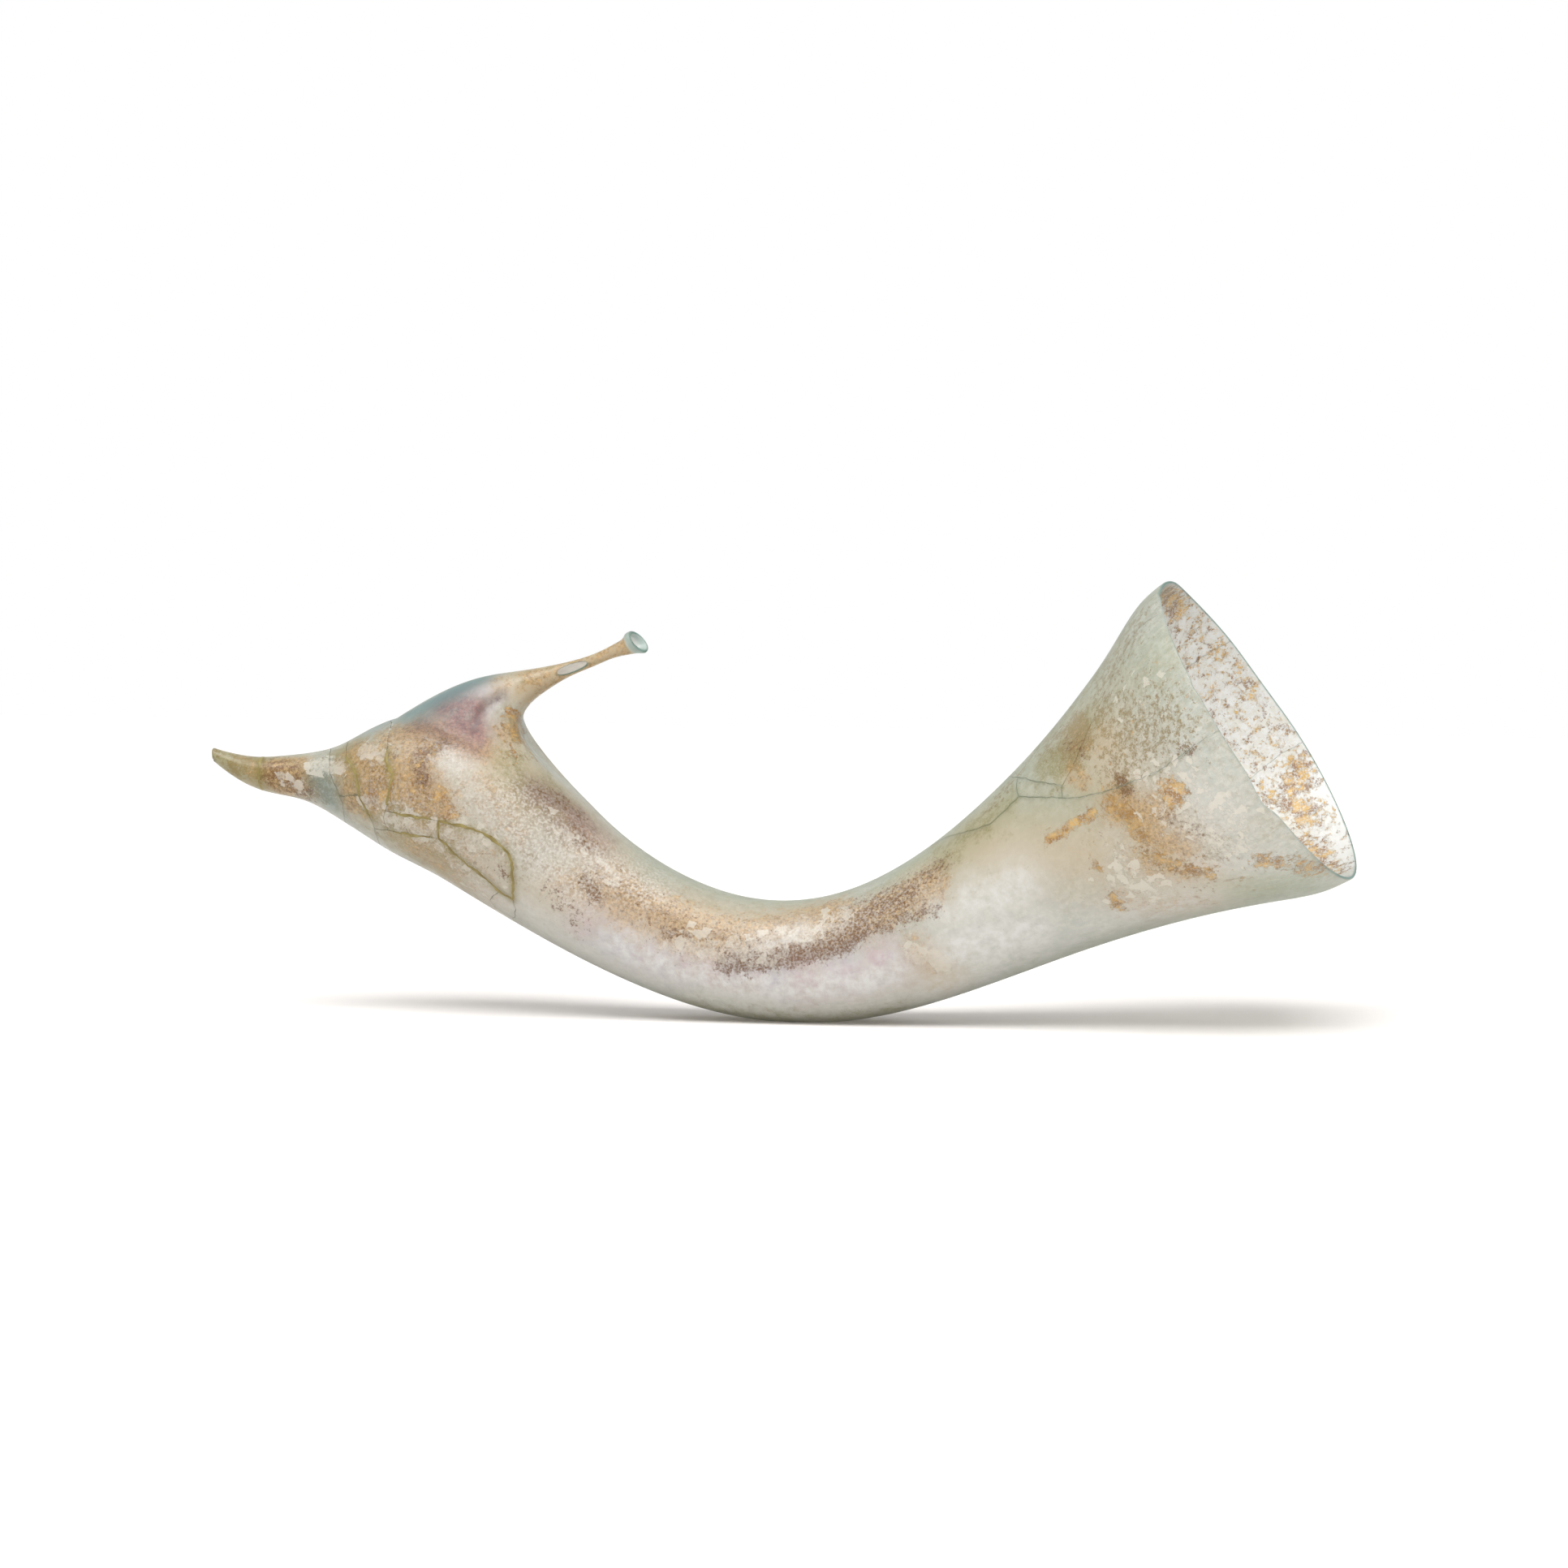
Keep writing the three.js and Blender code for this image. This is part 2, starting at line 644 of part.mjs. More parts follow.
// Colours of the weathered glass and of the dried adhesive
const glassColours = {
  main_body: "#cfc6b2",
  flare_top_sherd: "#c3cab9",
  flare_front_sherd: "#c8cbb8",
  flare_far_sherd: "#c6cdc0",
  throat_top_sherd: "#c2cbbd",
  square_sherd: "#c0cdc0",
  oval_sherd: "#c3b48c",
  triangle_sherd: "#c0b48f",
  band_sherd: "#d6cdb6",
  underside_sherd: "#c4bb97",
  shoulder_front_sherd: "#bda679",
  collar_upper_sherd: "#bfae87",
  collar_lower_sherd: "#b9b08c",
  spout_root: "#bdb39a",
  spout_tip: "#aeb07c",
};
const glass = (name) =>
  new THREE.MeshStandardMaterial({ color: glassColours[name], roughness: 0.35, metalness: 0 });
const adhesive = () =>
  new THREE.MeshStandardMaterial({ color: "#9c8a3a", roughness: 0.5, metalness: 0 });

// A solid as a named mesh, moved so that the middle of the rest flat is the origin
function piece(name, made, material, origin) {
  const { numProp, vertProperties, triVerts } = made.getMesh();
  const geometry = new THREE.BufferGeometry();
  const positions = new Float32Array((vertProperties.length / numProp) * 3);
  for (let i = 0; i < positions.length / 3; i++) {
    positions.set(vertProperties.subarray(i * numProp, i * numProp + 3), i * 3);
  }
  geometry.setAttribute("position", new THREE.BufferAttribute(positions, 3));
  geometry.setIndex(new THREE.BufferAttribute(triVerts, 1));
  geometry.translate(-origin.x, 0, -origin.z);
  geometry.computeVertexNormals();
  const mesh = new THREE.Mesh(geometry, material);
  mesh.name = name;
  return mesh;
}

const rhyton = new THREE.Group();
const lowest = lowestPoint();
const origin = new THREE.Vector3(lowest.x, 0, lowest.z + restDepth);
const pieces = brokenWall(finishedWall(origin.z));
for (const [name, place] of Object.entries(sherds)) {
  const found = pieces.find((candidate) => holds(candidate, place));
  rhyton.add(piece(name, found, glass(name), origin));
}
for (const [name, bead] of Object.entries(beads)) {
  rhyton.add(piece(name, beadSolid(bead), adhesive(), origin));
}

export default rhyton;
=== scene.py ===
import bpy
import numpy as np
from mathutils import Matrix, Vector
from mathutils.kdtree import KDTree


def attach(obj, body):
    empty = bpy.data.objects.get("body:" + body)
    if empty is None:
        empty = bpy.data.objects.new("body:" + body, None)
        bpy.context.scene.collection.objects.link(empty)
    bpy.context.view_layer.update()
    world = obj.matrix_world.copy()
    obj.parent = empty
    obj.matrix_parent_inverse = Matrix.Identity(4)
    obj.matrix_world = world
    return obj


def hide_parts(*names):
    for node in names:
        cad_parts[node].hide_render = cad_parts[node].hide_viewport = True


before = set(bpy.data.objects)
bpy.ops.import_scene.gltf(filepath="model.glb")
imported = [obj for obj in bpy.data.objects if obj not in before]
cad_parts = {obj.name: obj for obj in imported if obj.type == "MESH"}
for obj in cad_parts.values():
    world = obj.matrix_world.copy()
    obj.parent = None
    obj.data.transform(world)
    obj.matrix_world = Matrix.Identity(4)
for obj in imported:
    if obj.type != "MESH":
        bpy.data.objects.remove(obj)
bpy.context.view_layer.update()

# A mended rhyton of thin weathered glass, worked out in mm from the mouth to the spout's tip
MM = 0.001
TURN = 360

# Outer radii of the horn, the last stretch of the flare being given by how much narrower it is
MOUTH_RADIUS = 39.1
LIP_INSET = 0.4
FLARE_EDGE_INSET = 2.9
HORN_RADII = [MOUTH_RADIUS, MOUTH_RADIUS - LIP_INSET, MOUTH_RADIUS - FLARE_EDGE_INSET] + [
    28.2, 20.9, 16.5, 14.5, 13.6, 13.7, 15.6, 17.9, 18.4, 17.8, 15.9, 12.3, 7.8, 5.2, 4.1, 2.8, 1.7,
]

# Wall thickness
RIM_WALL = 0.8
THROAT_WALL = 1
BELLY_WALL = 1.35
HEAD_WALL = 1.5
SPOUT_WALL = 1.4
SPOUT_END_WALL = 1
SPOUT_TIP_WALL = 0.8
TAIL_WALL = 0.55
TAIL_LIP_WALL = 0.95
HORN_WALLS = (
    [RIM_WALL] * 3 + [THROAT_WALL] * 3 + [BELLY_WALL] * 4 + [HEAD_WALL] * 5 + [SPOUT_WALL] * 3
    + [SPOUT_END_WALL, SPOUT_TIP_WALL]
)

# The centre line: x and height over the round belly's lowest point
HORN_LINE = [
    (105.4, 68.2), (101.1, 65.5), (94.5, 61.4), (77, 50.1), (55, 36.2), (32, 23.2), (9.2, 15.2),
    (-13.3, 14.7), (-35.7, 21.7), (-56.5, 33.9), (-70.5, 44.6), (-78.5, 49.8), (-86.5, 52.3), (-94, 53.1),
    (-101.5, 53.5), (-109.1, 53.7), (-116.5, 54.6), (-125, 54.8), (-131.5, 56.3), (-136.6, 59.2),
]

# The tail's own line, from where it leaves the horn's back to its flared, fire-polished end
TAIL_LINE = [
    (-61.4, 77.4), (-58.2, 78.7), (-53.7, 80.4), (-49, 82.1), (-44.5, 84.1), (-41.2, 85.3), (-37.6, 85.9),
]
TAIL_RADII = [2.9, 2.2, 1.55, 1.3, 1.4, 1.9, 2.5]
TAIL_LIP_START = 0.8

# How softly each line bends, and the length on both sides over which its direction is averaged
HORN_SOFTNESS = 3
TAIL_SOFTNESS = 0.7
HORN_REACH = 6
TAIL_REACH = 1

# Where the tail is drawn out of the horn's back, and how its root runs along the horn and the tail
ROOT_START = 177
ROOT_END = 229
ROOT_HALF_TURN = 48
OVAL_SHARE = 0.86
SPOUT_SIDE_REACH = 20
SPOUT_SIDE_RISE = 6.7
SPOUT_SIDE_PULL = 10.5
MOUTH_SIDE_REACH = 19
MOUTH_SIDE_PULL = 15.5
FLANK_SHORTENING = 0.5

# How far the mouth's rim stands back, where round it most, and how far down the flare that is felt
MOUTH_BACK = 3.1
MOUTH_BACK_SIDE = 60
MOUTH_BACK_REACH = 26

# How far the spout's end is drawn out, how much more on top, and over what length
SPOUT_DRAWN = 1.1
SPOUT_TOP_DRAWN = 0.7
SPOUT_DRAWN_REACH = 8

# How the tail's end is turned to the front and tipped up, as slopes, and set back and raised in mm
TAIL_END_TURN = 0.42
TAIL_END_TIP = 0.5
TAIL_END_BACK = 1.2
TAIL_END_RISE = 0.5
TAIL_END_REACH = 5

# The worn rim's bumps, as the middle and half width in degrees and the depth in mm, and how deep they run
RIM_BUMPS = [
    (352, 14, -0.7), (318, 22, 0.5), (285, 18, 0.7), (110, 6, 0.9), (114, 3, 0.5), (17, 2, 0.5),
    (68, 1.5, 0.4),
]
RIM_WORN_REACH = 5

# The fold beside the tail's root: a groove and the ridge next to it, as points in mm on the near side
GROOVE = [(-69.3, -4.8, 73.9), (-71.9, -5.8, 72.1), (-73.6, -7, 70), (-74.8, -8.8, 67.3)]
RIDGE = [(-67.4, -4.1, 75.4), (-70.2, -5.2, 72.8), (-72.2, -6.6, 70.3), (-73, -8.1, 67.9)]
GROOVE_DEPTH = 0.5
RIDGE_HEIGHT = 0.15
FOLD_REACH = 1.3

# The width of a bare break, that of a join which the mender's adhesive fills, and how far they waver
BREAK_GAP = 0.12
JOIN_WIDTH = 0.34
BREAK_WAVER = 0.25
WAVER_PERIOD = 4

# A bead of adhesive: the stem's slack, and how the cap spreads past it, stands out, wavers and fades
BEAD_SLACK = 0.02
CAP_LEAST = 0.04
CAP_SPREAD = 0.3
CAP_BIAS = 0.3
CAP_HEIGHT = 0.06
CAP_SWELL = 0.03
CAP_PERIODS = (9, 7, 5)
CAP_FADE = 2
END_SLACK = 3 * BEAD_SLACK
CAP_SHOULDER = (0.7, 0.8)
LEAST_BEND_RADIUS = 4

# The hole worn through the tail's side, and the chip out of the spout's lip
HOLE_AT = 8.5
HOLE_SIZE = (7.6, 2.9, 2.2)
CHIP_AT = 150
CHIP_SIZE = 1.3

# The small flat on the belly that the horn lies on, in whose middle the part's frame has its origin
FLAT_HEIGHT = 0.577
ORIGIN = np.array([-0.981, 0, FLAT_HEIGHT])

# How finely the wall, its breaks and its lips are divided, and the fewest points that a sherd has
COLUMNS = 150
RING_STEP = 0.9
FLAT_ROWS = 10
ROOT_ROWS = 30
TAIL_ROWS = 34
LIP_STEPS = 8
PATH_STEP = 0.7
ELLIPSOID_RINGS = 24
FEWEST_POINTS = 40

# The sharpest edges, in degrees, that are still shaded smooth on a sherd and on a bead
SHERD_SHARPEST = 35
BEAD_SHARPEST = 50

# The direction towards the near side
NEAR = np.array([0.0, -1.0, 0.0])


def unit(vectors):
    """Each vector divided by its length."""
    shortest = 1e-12
    return vectors / np.maximum(np.linalg.norm(vectors, axis=-1, keepdims=True), shortest)


def smooth_step(low, high, values):
    """0 below low, 1 above high, and the S curve 3t^2 - 2t^3 between them."""
    share = np.clip((np.asarray(values, float) - low) / (high - low), 0, 1)
    return share * share * (3 - 2 * share)


class Run:
    """A smooth line through stations, with a radius and a wall that change along it."""

    def __init__(self, line, radii, walls, softness):
        """Natural cubic spline over the straight distance between stations: between two stations each value
        is the cubic whose slope and bend match those of its neighbours. The whole is then averaged along
        the line with a bell curve of the given softness in mm, the line being carried on past its ends."""
        reads_per_station = 40
        rows_per_softness = 12
        margin = 3 * rows_per_softness
        values = np.column_stack([np.array(line, float), radii, walls])
        knots = np.concatenate([[0], np.cumsum(np.hypot(*np.diff(values[:, :2], axis=0).T))])
        gaps = np.diff(knots)
        matrix = np.eye(len(knots))
        inner = np.arange(1, len(knots) - 1)
        matrix[inner, inner - 1] = gaps[:-1]
        matrix[inner, inner] = 2 * (gaps[:-1] + gaps[1:])
        matrix[inner, inner + 1] = gaps[1:]
        bends = np.zeros_like(values)
        bends[1:-1] = 6 * np.diff(np.diff(values, axis=0) / gaps[:, None], axis=0)
        bends = np.linalg.solve(matrix, bends)
        read = np.linspace(0, knots[-1], reads_per_station * len(knots))
        span = np.clip(np.searchsorted(knots, read, side="right") - 1, 0, len(gaps) - 1)
        gap = gaps[span][:, None]
        after = ((knots[span + 1] - read) / gaps[span])[:, None]
        before = 1 - after
        rows = (
            after * values[span] + before * values[span + 1]
            + ((after**3 - after) * bends[span] + (before**3 - before) * bends[span + 1]) * gap**2 / 6
        )
        step = softness / rows_per_softness
        travelled = np.concatenate([[0], np.cumsum(np.hypot(*np.diff(rows[:, :2], axis=0).T))])
        even = np.linspace(0, travelled[-1], round(travelled[-1] / step))
        rows = np.stack([np.interp(even, travelled, column) for column in rows.T], -1)
        bell = np.exp(-((np.arange(-margin, margin + 1) / rows_per_softness) ** 2) / 2)
        before_start = 2 * rows[0] - rows[margin:0:-1]
        past_end = 2 * rows[-1] - rows[-2 : -margin - 2 : -1]
        longer = np.concatenate([before_start, rows, past_end])
        self.rows = np.stack([np.convolve(column, bell / bell.sum(), "valid") for column in longer.T], -1)
        steps = np.hypot(*np.diff(self.rows[:, :2], axis=0).T)
        self.distance = np.concatenate([[0], np.cumsum(steps)])
        self.length = self.distance[-1]
        self.first = (self.rows[1] - self.rows[0]) / steps[0]
        self.last = (self.rows[-1] - self.rows[-2]) / steps[-1]

    def at(self, distance):
        """x, z, radius and wall at each distance, drawn straight on past either end."""
        distance = np.asarray(distance, float)
        inside = np.clip(distance, 0, self.length)
        rows = np.stack([np.interp(inside, self.distance, column) for column in self.rows.T], -1)
        past = (distance - inside)[..., None]
        return rows + past * np.where(past < 0, self.first, self.last)

    def direction(self, distance, reach):
        """Unit direction along the line in x and z, averaged over the reach on both sides."""
        low = np.clip(np.asarray(distance, float) - reach, 0, self.length)
        high = np.clip(np.asarray(distance, float) + reach, 0, self.length)
        return unit((self.at(high) - self.at(low))[..., :2])

    def surface(self, reach, distance, degrees):
        """Outer surface: the centre plus the radius times (cos upper + sin near), where the angle is
        counted from the upper side towards the near side."""
        distance, degrees = np.broadcast_arrays(np.asarray(distance, float), degrees)
        rows = self.at(distance)
        along = self.direction(distance, reach)
        sign = np.where(along[..., :1] < 0, -1, 1)
        upper = sign * np.stack([-along[..., 1], np.zeros(distance.shape), along[..., 0]], -1)
        centre = np.stack([rows[..., 0], np.zeros(distance.shape), rows[..., 1]], -1)
        angle = np.radians(degrees)[..., None]
        return centre + rows[..., 2:3] * (upper * np.cos(angle) + NEAR * np.sin(angle))


horn = Run(HORN_LINE, HORN_RADII, HORN_WALLS, HORN_SOFTNESS)
tail = Run(TAIL_LINE, TAIL_RADII, [TAIL_WALL] * len(TAIL_RADII), TAIL_SOFTNESS)


def on_horn(distance, degrees):
    """A point on the horn's outer surface. The mouth stands back by its greatest measure times
    (1 + cos) / 2 of the angle from one place round it, and the spout's end is drawn out, more on top than
    below."""
    points = horn.surface(HORN_REACH, distance, degrees)
    back = MOUTH_BACK * (1 + np.cos(np.radians(np.asarray(degrees) - MOUTH_BACK_SIDE))) / 2
    back = back * smooth_step(MOUTH_BACK_REACH, 0, distance)
    drawn = SPOUT_DRAWN + SPOUT_TOP_DRAWN * np.cos(np.radians(degrees))
    drawn = drawn * smooth_step(horn.length - SPOUT_DRAWN_REACH, horn.length, distance)
    points[..., 0] -= back + drawn
    return points


def on_tail(distance, degrees):
    """A point on the tail's outer surface, whose end is tipped up and turned to the front: it moves along x
    in proportion to how far it lies from the tail's line, sideways and upwards."""
    points = tail.surface(TAIL_REACH, distance, degrees)
    share = smooth_step(tail.length - TAIL_END_REACH, tail.length, distance)
    height = points[..., 2] - tail.at(distance)[..., 1]
    points[..., 0] += share * (TAIL_END_TURN * points[..., 1] - TAIL_END_TIP * height - TAIL_END_BACK)
    points[..., 2] += share * TAIL_END_RISE
    return points


def horn_normal(distance, degrees):
    """Outward unit normal of the horn, from a small step along it and one round it."""
    step = 0.5
    here = on_horn(distance, degrees)
    along = on_horn(np.asarray(distance) + step, degrees) - here
    around = on_horn(distance, np.asarray(degrees) + step) - here
    return unit(np.cross(along, around))


def axes_along(direction):
    """Three unit axes as rows: a direction in the plane of the bend, the near side, and square to both."""
    return np.array([[direction[0], 0, direction[1]], NEAR, [-direction[1], 0, direction[0]]])


def wobble(position, seed, period):
    """A smooth random wave along a line: three sines whose lengths aren't multiples of each other."""
    lengths = np.array([1, 0.61, 0.37])
    heights = np.array([0.5, 0.3, 0.2])
    start = np.random.default_rng(seed).uniform(0, 2 * np.pi, 3)
    waves = 2 * np.pi * np.asarray(position, float)[..., None] / (period * lengths)
    return (np.sin(waves + start) * heights).sum(-1)


def make_mesh(name, points, faces):
    """A mesh from points in mm and the corners of its faces."""
    mesh = bpy.data.meshes.new(name)
    mesh.from_pydata(points, [], faces)
    mesh.update()
    made = bpy.data.objects.new(name, mesh)
    bpy.context.scene.collection.objects.link(made)
    return made


def quads_between(rows):
    """Faces between rings of vertex numbers, each quad going on along its ring and then to the next ring."""
    here = rows[:-1]
    beyond = rows[1:]
    return np.stack([here, beyond, np.roll(beyond, -1, 1), np.roll(here, -1, 1)], -1)


def outwards(points, faces):
    """The faces turned so that the volume they close, the sum of their corners' triple products, is
    positive."""
    corners = points[faces]
    volume = sum(
        np.einsum("ij,ij->i", corners[:, 0], np.cross(corners[:, k], corners[:, k + 1])).sum()
        for k in range(1, faces.shape[1] - 1)
    )
    return faces if volume > 0 else faces[:, ::-1]


def vertex_normals(points, faces):
    """Unit sum of the normals of the faces round each point, each face weighted by its area."""
    corners = points[faces]
    crossed = np.cross(corners[:, 2] - corners[:, 0], corners[:, 3] - corners[:, 1])
    total = np.zeros_like(points)
    for axis in range(3):
        for k in range(4):
            total[:, axis] += np.bincount(faces[:, k], crossed[:, axis], len(points))
    return unit(total)


def rim_wear(degrees):
    """How far the worn rim lies behind the true circle, in mm: the sum over its bumps of the depth times
    exp(-x squared), where x is the angle from the bump's middle over its half width."""
    depth = 0
    for middle, width, deepest in RIM_BUMPS:
        away = np.abs((degrees - middle + TURN / 2) % TURN - TURN / 2) / width
        depth = depth + deepest * np.exp(-(away**2))
    return depth


def ring_distances():
    """Distances of the rings along the horn, evenly spaced, with one on each end of the tail's root."""
    stops = [0, ROOT_START, ROOT_END, horn.length]
    pieces = []
    for start, end in zip(stops, stops[1:]):
        pieces.append(np.linspace(start, end, round((end - start) / RING_STEP), endpoint=False))
    return np.concatenate(pieces + [[horn.length]])


def root_place(share, degrees):
    """Distance and degrees on the horn of a point of the oval round the tail's root."""
    angle = np.radians(degrees)
    middle = (ROOT_START + ROOT_END) / 2
    half_length = (ROOT_END - ROOT_START) / 2
    return middle + half_length * share * np.cos(angle), ROOT_HALF_TURN * share * np.sin(angle)


def places_of(distance, degrees, up_tail):
    """Where points are on the vessel: distance and degrees on the horn, how far up the tail from 0 at its
    root over 1 to 2 at its end, 0 on the outer surface to 1 on the inner one, and 1 on a lip's crest."""
    distance, degrees, up_tail = np.broadcast_arrays(distance, degrees, up_tail)
    zero = np.zeros(distance.shape)
    return np.stack([distance, degrees, up_tail, zero, zero], -1).reshape(-1, 5)


def root_and_tail(edge_distance, edge_degrees):
    """Rows of points from the edge of the hole in the horn's back to the tail's end, with the wall and the
    place of each. The rows run over the horn to an oval, then along cubic curves that leave the horn along
    its surface and meet the tail along its own, and up the tail. A cubic curve is (1 - t)^3 start
    + 3t(1 - t)^2 leaving point + 3t^2(1 - t) meeting point + t^3 end."""
    look_ahead = 0.1
    step_up = 0.4
    turn = np.arange(len(edge_distance)) * TURN / len(edge_distance)
    oval_distance, oval_degrees = root_place(OVAL_SHARE, turn)
    share = (np.arange(1, FLAT_ROWS + 1) / FLAT_ROWS)[:, None]
    over_horn = on_horn(
        edge_distance + (oval_distance - edge_distance) * share,
        edge_degrees + (oval_degrees - edge_degrees) * share,
    )
    spout_side = ((1 + np.cos(np.radians(turn))) / 2)[:, None]
    start = on_horn(oval_distance, oval_degrees)
    leaves = unit(on_horn(*root_place(OVAL_SHARE - look_ahead, turn)) - start)
    flank = 1 - FLANK_SHORTENING * np.sin(np.radians(turn))[:, None] ** 2
    leaves = leaves * (MOUTH_SIDE_REACH + (SPOUT_SIDE_REACH - MOUTH_SIDE_REACH) * spout_side) * flank
    leaves = leaves + horn_normal(ROOT_END, 0) * SPOUT_SIDE_RISE * spout_side
    end = on_tail(0, turn)
    meets = unit(on_tail(step_up, turn) - end)
    meets = meets * (MOUTH_SIDE_PULL + (SPOUT_SIDE_PULL - MOUTH_SIDE_PULL) * spout_side)
    t = (np.arange(1, ROOT_ROWS) / ROOT_ROWS)[:, None, None]
    root = (
        (1 - t) ** 3 * start + 3 * t * (1 - t) ** 2 * (start + leaves)
        + 3 * t**2 * (1 - t) * (end - meets) + t**3 * end
    )
    tail_distance = np.linspace(0, tail.length, TAIL_ROWS)
    up_tail = tail_distance / tail.length
    along_tail = on_tail(tail_distance[:, None], np.broadcast_to(turn, (TAIL_ROWS, len(turn))))
    points = np.concatenate([over_horn, root, along_tail])
    walls = np.concatenate([
        np.full(FLAT_ROWS, HEAD_WALL),
        HEAD_WALL + (TAIL_WALL - HEAD_WALL) * t[:, 0, 0],
        TAIL_WALL + (TAIL_LIP_WALL - TAIL_WALL) * smooth_step(TAIL_LIP_START, 1, up_tail),
    ])
    up_tail = np.concatenate([np.zeros(FLAT_ROWS), t[:, 0, 0], 1 + up_tail])
    places = places_of(np.broadcast_to(oval_distance, points.shape[:2]), oval_degrees, up_tail[:, None])
    return points, np.repeat(walls, len(turn)), places


def half_round_lip(outer, inner, behind, places):
    """Rings of points over the edge of the wall, and their places: half circles as wide as the wall, from
    the ring of points on the outer surface to that on the inner one, bulging away from the ring behind."""
    angle = (np.pi * np.arange(1, LIP_STEPS) / LIP_STEPS)[:, None, None]
    away = unit(outer - behind)
    across = (outer - inner) / 2
    middle = (outer + inner) / 2
    thick = np.linalg.norm(across, axis=1, keepdims=True)
    rings = middle + across * np.cos(angle) + away * thick * np.sin(angle)
    places = np.repeat(places[None], len(rings), 0)
    places[..., 3] = (1 - np.cos(angle[..., 0])) / 2
    places[..., 4] = np.sin(angle[..., 0])
    return rings, places.reshape(-1, 5)


def vessel_wall():
    """Points and faces of the whole unbroken wall, and the place of each point.

    The horn is a grid of rings and columns with a hole on its back, out of which the tail grows. The inner
    surface is the outer one again, one wall further in along the normals, and a half-round lip joins the
    two at the mouth, the spout's end and the tail's end."""
    rings = ring_distances()
    degrees = np.arange(COLUMNS) * TURN / COLUMNS
    fading = np.clip(1 - rings / RIM_WORN_REACH, 0, 1)[:, None] ** 2
    distance = rings[:, None] + rim_wear(degrees)[None, :] * fading
    horn_points = on_horn(distance, np.broadcast_to(degrees, distance.shape))
    index = np.arange(horn_points.shape[0] * COLUMNS).reshape(-1, COLUMNS)
    first = int(np.argmin(np.abs(rings - ROOT_START)))
    last = int(np.argmin(np.abs(rings - ROOT_END)))
    half = round(ROOT_HALF_TURN / TURN * COLUMNS)
    quads = quads_between(index)
    column = np.arange(COLUMNS)
    on_back = (column < half) | (column >= COLUMNS - half)
    kept = np.ones(quads.shape[:2], bool)
    kept[first:last] = ~on_back

    around = np.arange(-half, half + 1) % COLUMNS
    down = np.arange(last - 1, first, -1)
    hole_edge = np.concatenate([
        index[last, np.arange(half)],
        [index[last, half]],
        index[down, half],
        index[first, around[::-1]],
        index[down[::-1], around[0]],
        index[last, np.arange(-half, 0) % COLUMNS],
    ])
    edge_degrees = (degrees[hole_edge % COLUMNS] + TURN / 2) % TURN - TURN / 2
    grown, grown_walls, grown_places = root_and_tail(rings[hole_edge // COLUMNS], edge_degrees)
    outer = np.concatenate([horn_points.reshape(-1, 3), grown.reshape(-1, 3)])
    numbers = index.size + np.arange(len(grown_walls)).reshape(len(grown), -1)
    rows = np.concatenate([hole_edge[None], numbers])
    places = np.concatenate([places_of(rings[:, None], degrees, 0), grown_places])
    faces = np.concatenate([quads[kept], quads_between(rows).reshape(-1, 4)[:, ::-1]])

    walls = np.concatenate([np.broadcast_to(horn.at(rings)[:, 3:4], index.shape).ravel(), grown_walls])
    normals = vertex_normals(outer, faces)
    inner = outer - walls[:, None] * normals
    ridge = painted(outer, [(FOLD_REACH, RIDGE_HEIGHT, RIDGE)])
    groove = painted(outer, [(FOLD_REACH, GROOVE_DEPTH, GROOVE)])
    outer = outer + (ridge - groove)[:, None] * normals
    outer[:, 2] = np.maximum(outer[:, 2], FLAT_HEIGHT)
    points = [outer, inner]
    every_place = [places, places + [0, 0, 0, 1, 0]]
    every_face = [faces, faces[:, ::-1] + len(outer)]
    count = 2 * len(outer)
    for edge, behind, turned in [
        (index[0], index[1], True), (index[-1], index[-2], False), (rows[-1], rows[-2], True),
    ]:
        lip, lip_places = half_round_lip(outer[edge], inner[edge], outer[behind], places[edge])
        numbers = count + np.arange(lip.shape[0] * len(edge)).reshape(-1, len(edge))
        numbers = np.concatenate([edge[None], numbers, edge[None] + len(outer)])
        lip_faces = quads_between(numbers).reshape(-1, 4)
        points.append(lip.reshape(-1, 3))
        every_place.append(lip_places)
        every_face.append(lip_faces[:, ::-1] if turned else lip_faces)
        count += lip.shape[0] * len(edge)
    points = np.concatenate(points)
    return points, outwards(points, np.concatenate(every_face)), np.concatenate(every_place)


# Places where breaks meet, as mm from the mouth along the horn and degrees from its upper to its near side
PAST_RIM = -2
SQUARE_TOP_LEFT = (51.8, 25.5)
SQUARE_LOWER_LEFT = (53, 42)
SQUARE_LOWER_RIGHT = (43.2, 63.5)
SQUARE_TOP_RIGHT = (42, 58)
FAR_MEETING = (62, -34)
COLLAR_FOOT = (226.8, 131)
COLLAR_FAR = (230, 235)
COLLAR_TOP = (234.5, 325)
BAND_CORNER = (223.4, 107.3)
BAND_FOOT = (223, 126)
OVAL_UPPER_LEFT = (208.8, 103)
OVAL_LOWER_LEFT = (207.2, 115.5)
OVAL_POINT = (184, 127)
TRIANGLE_TOP = (187.5, 127)
TRIANGLE_FOOT = (182.5, 155)

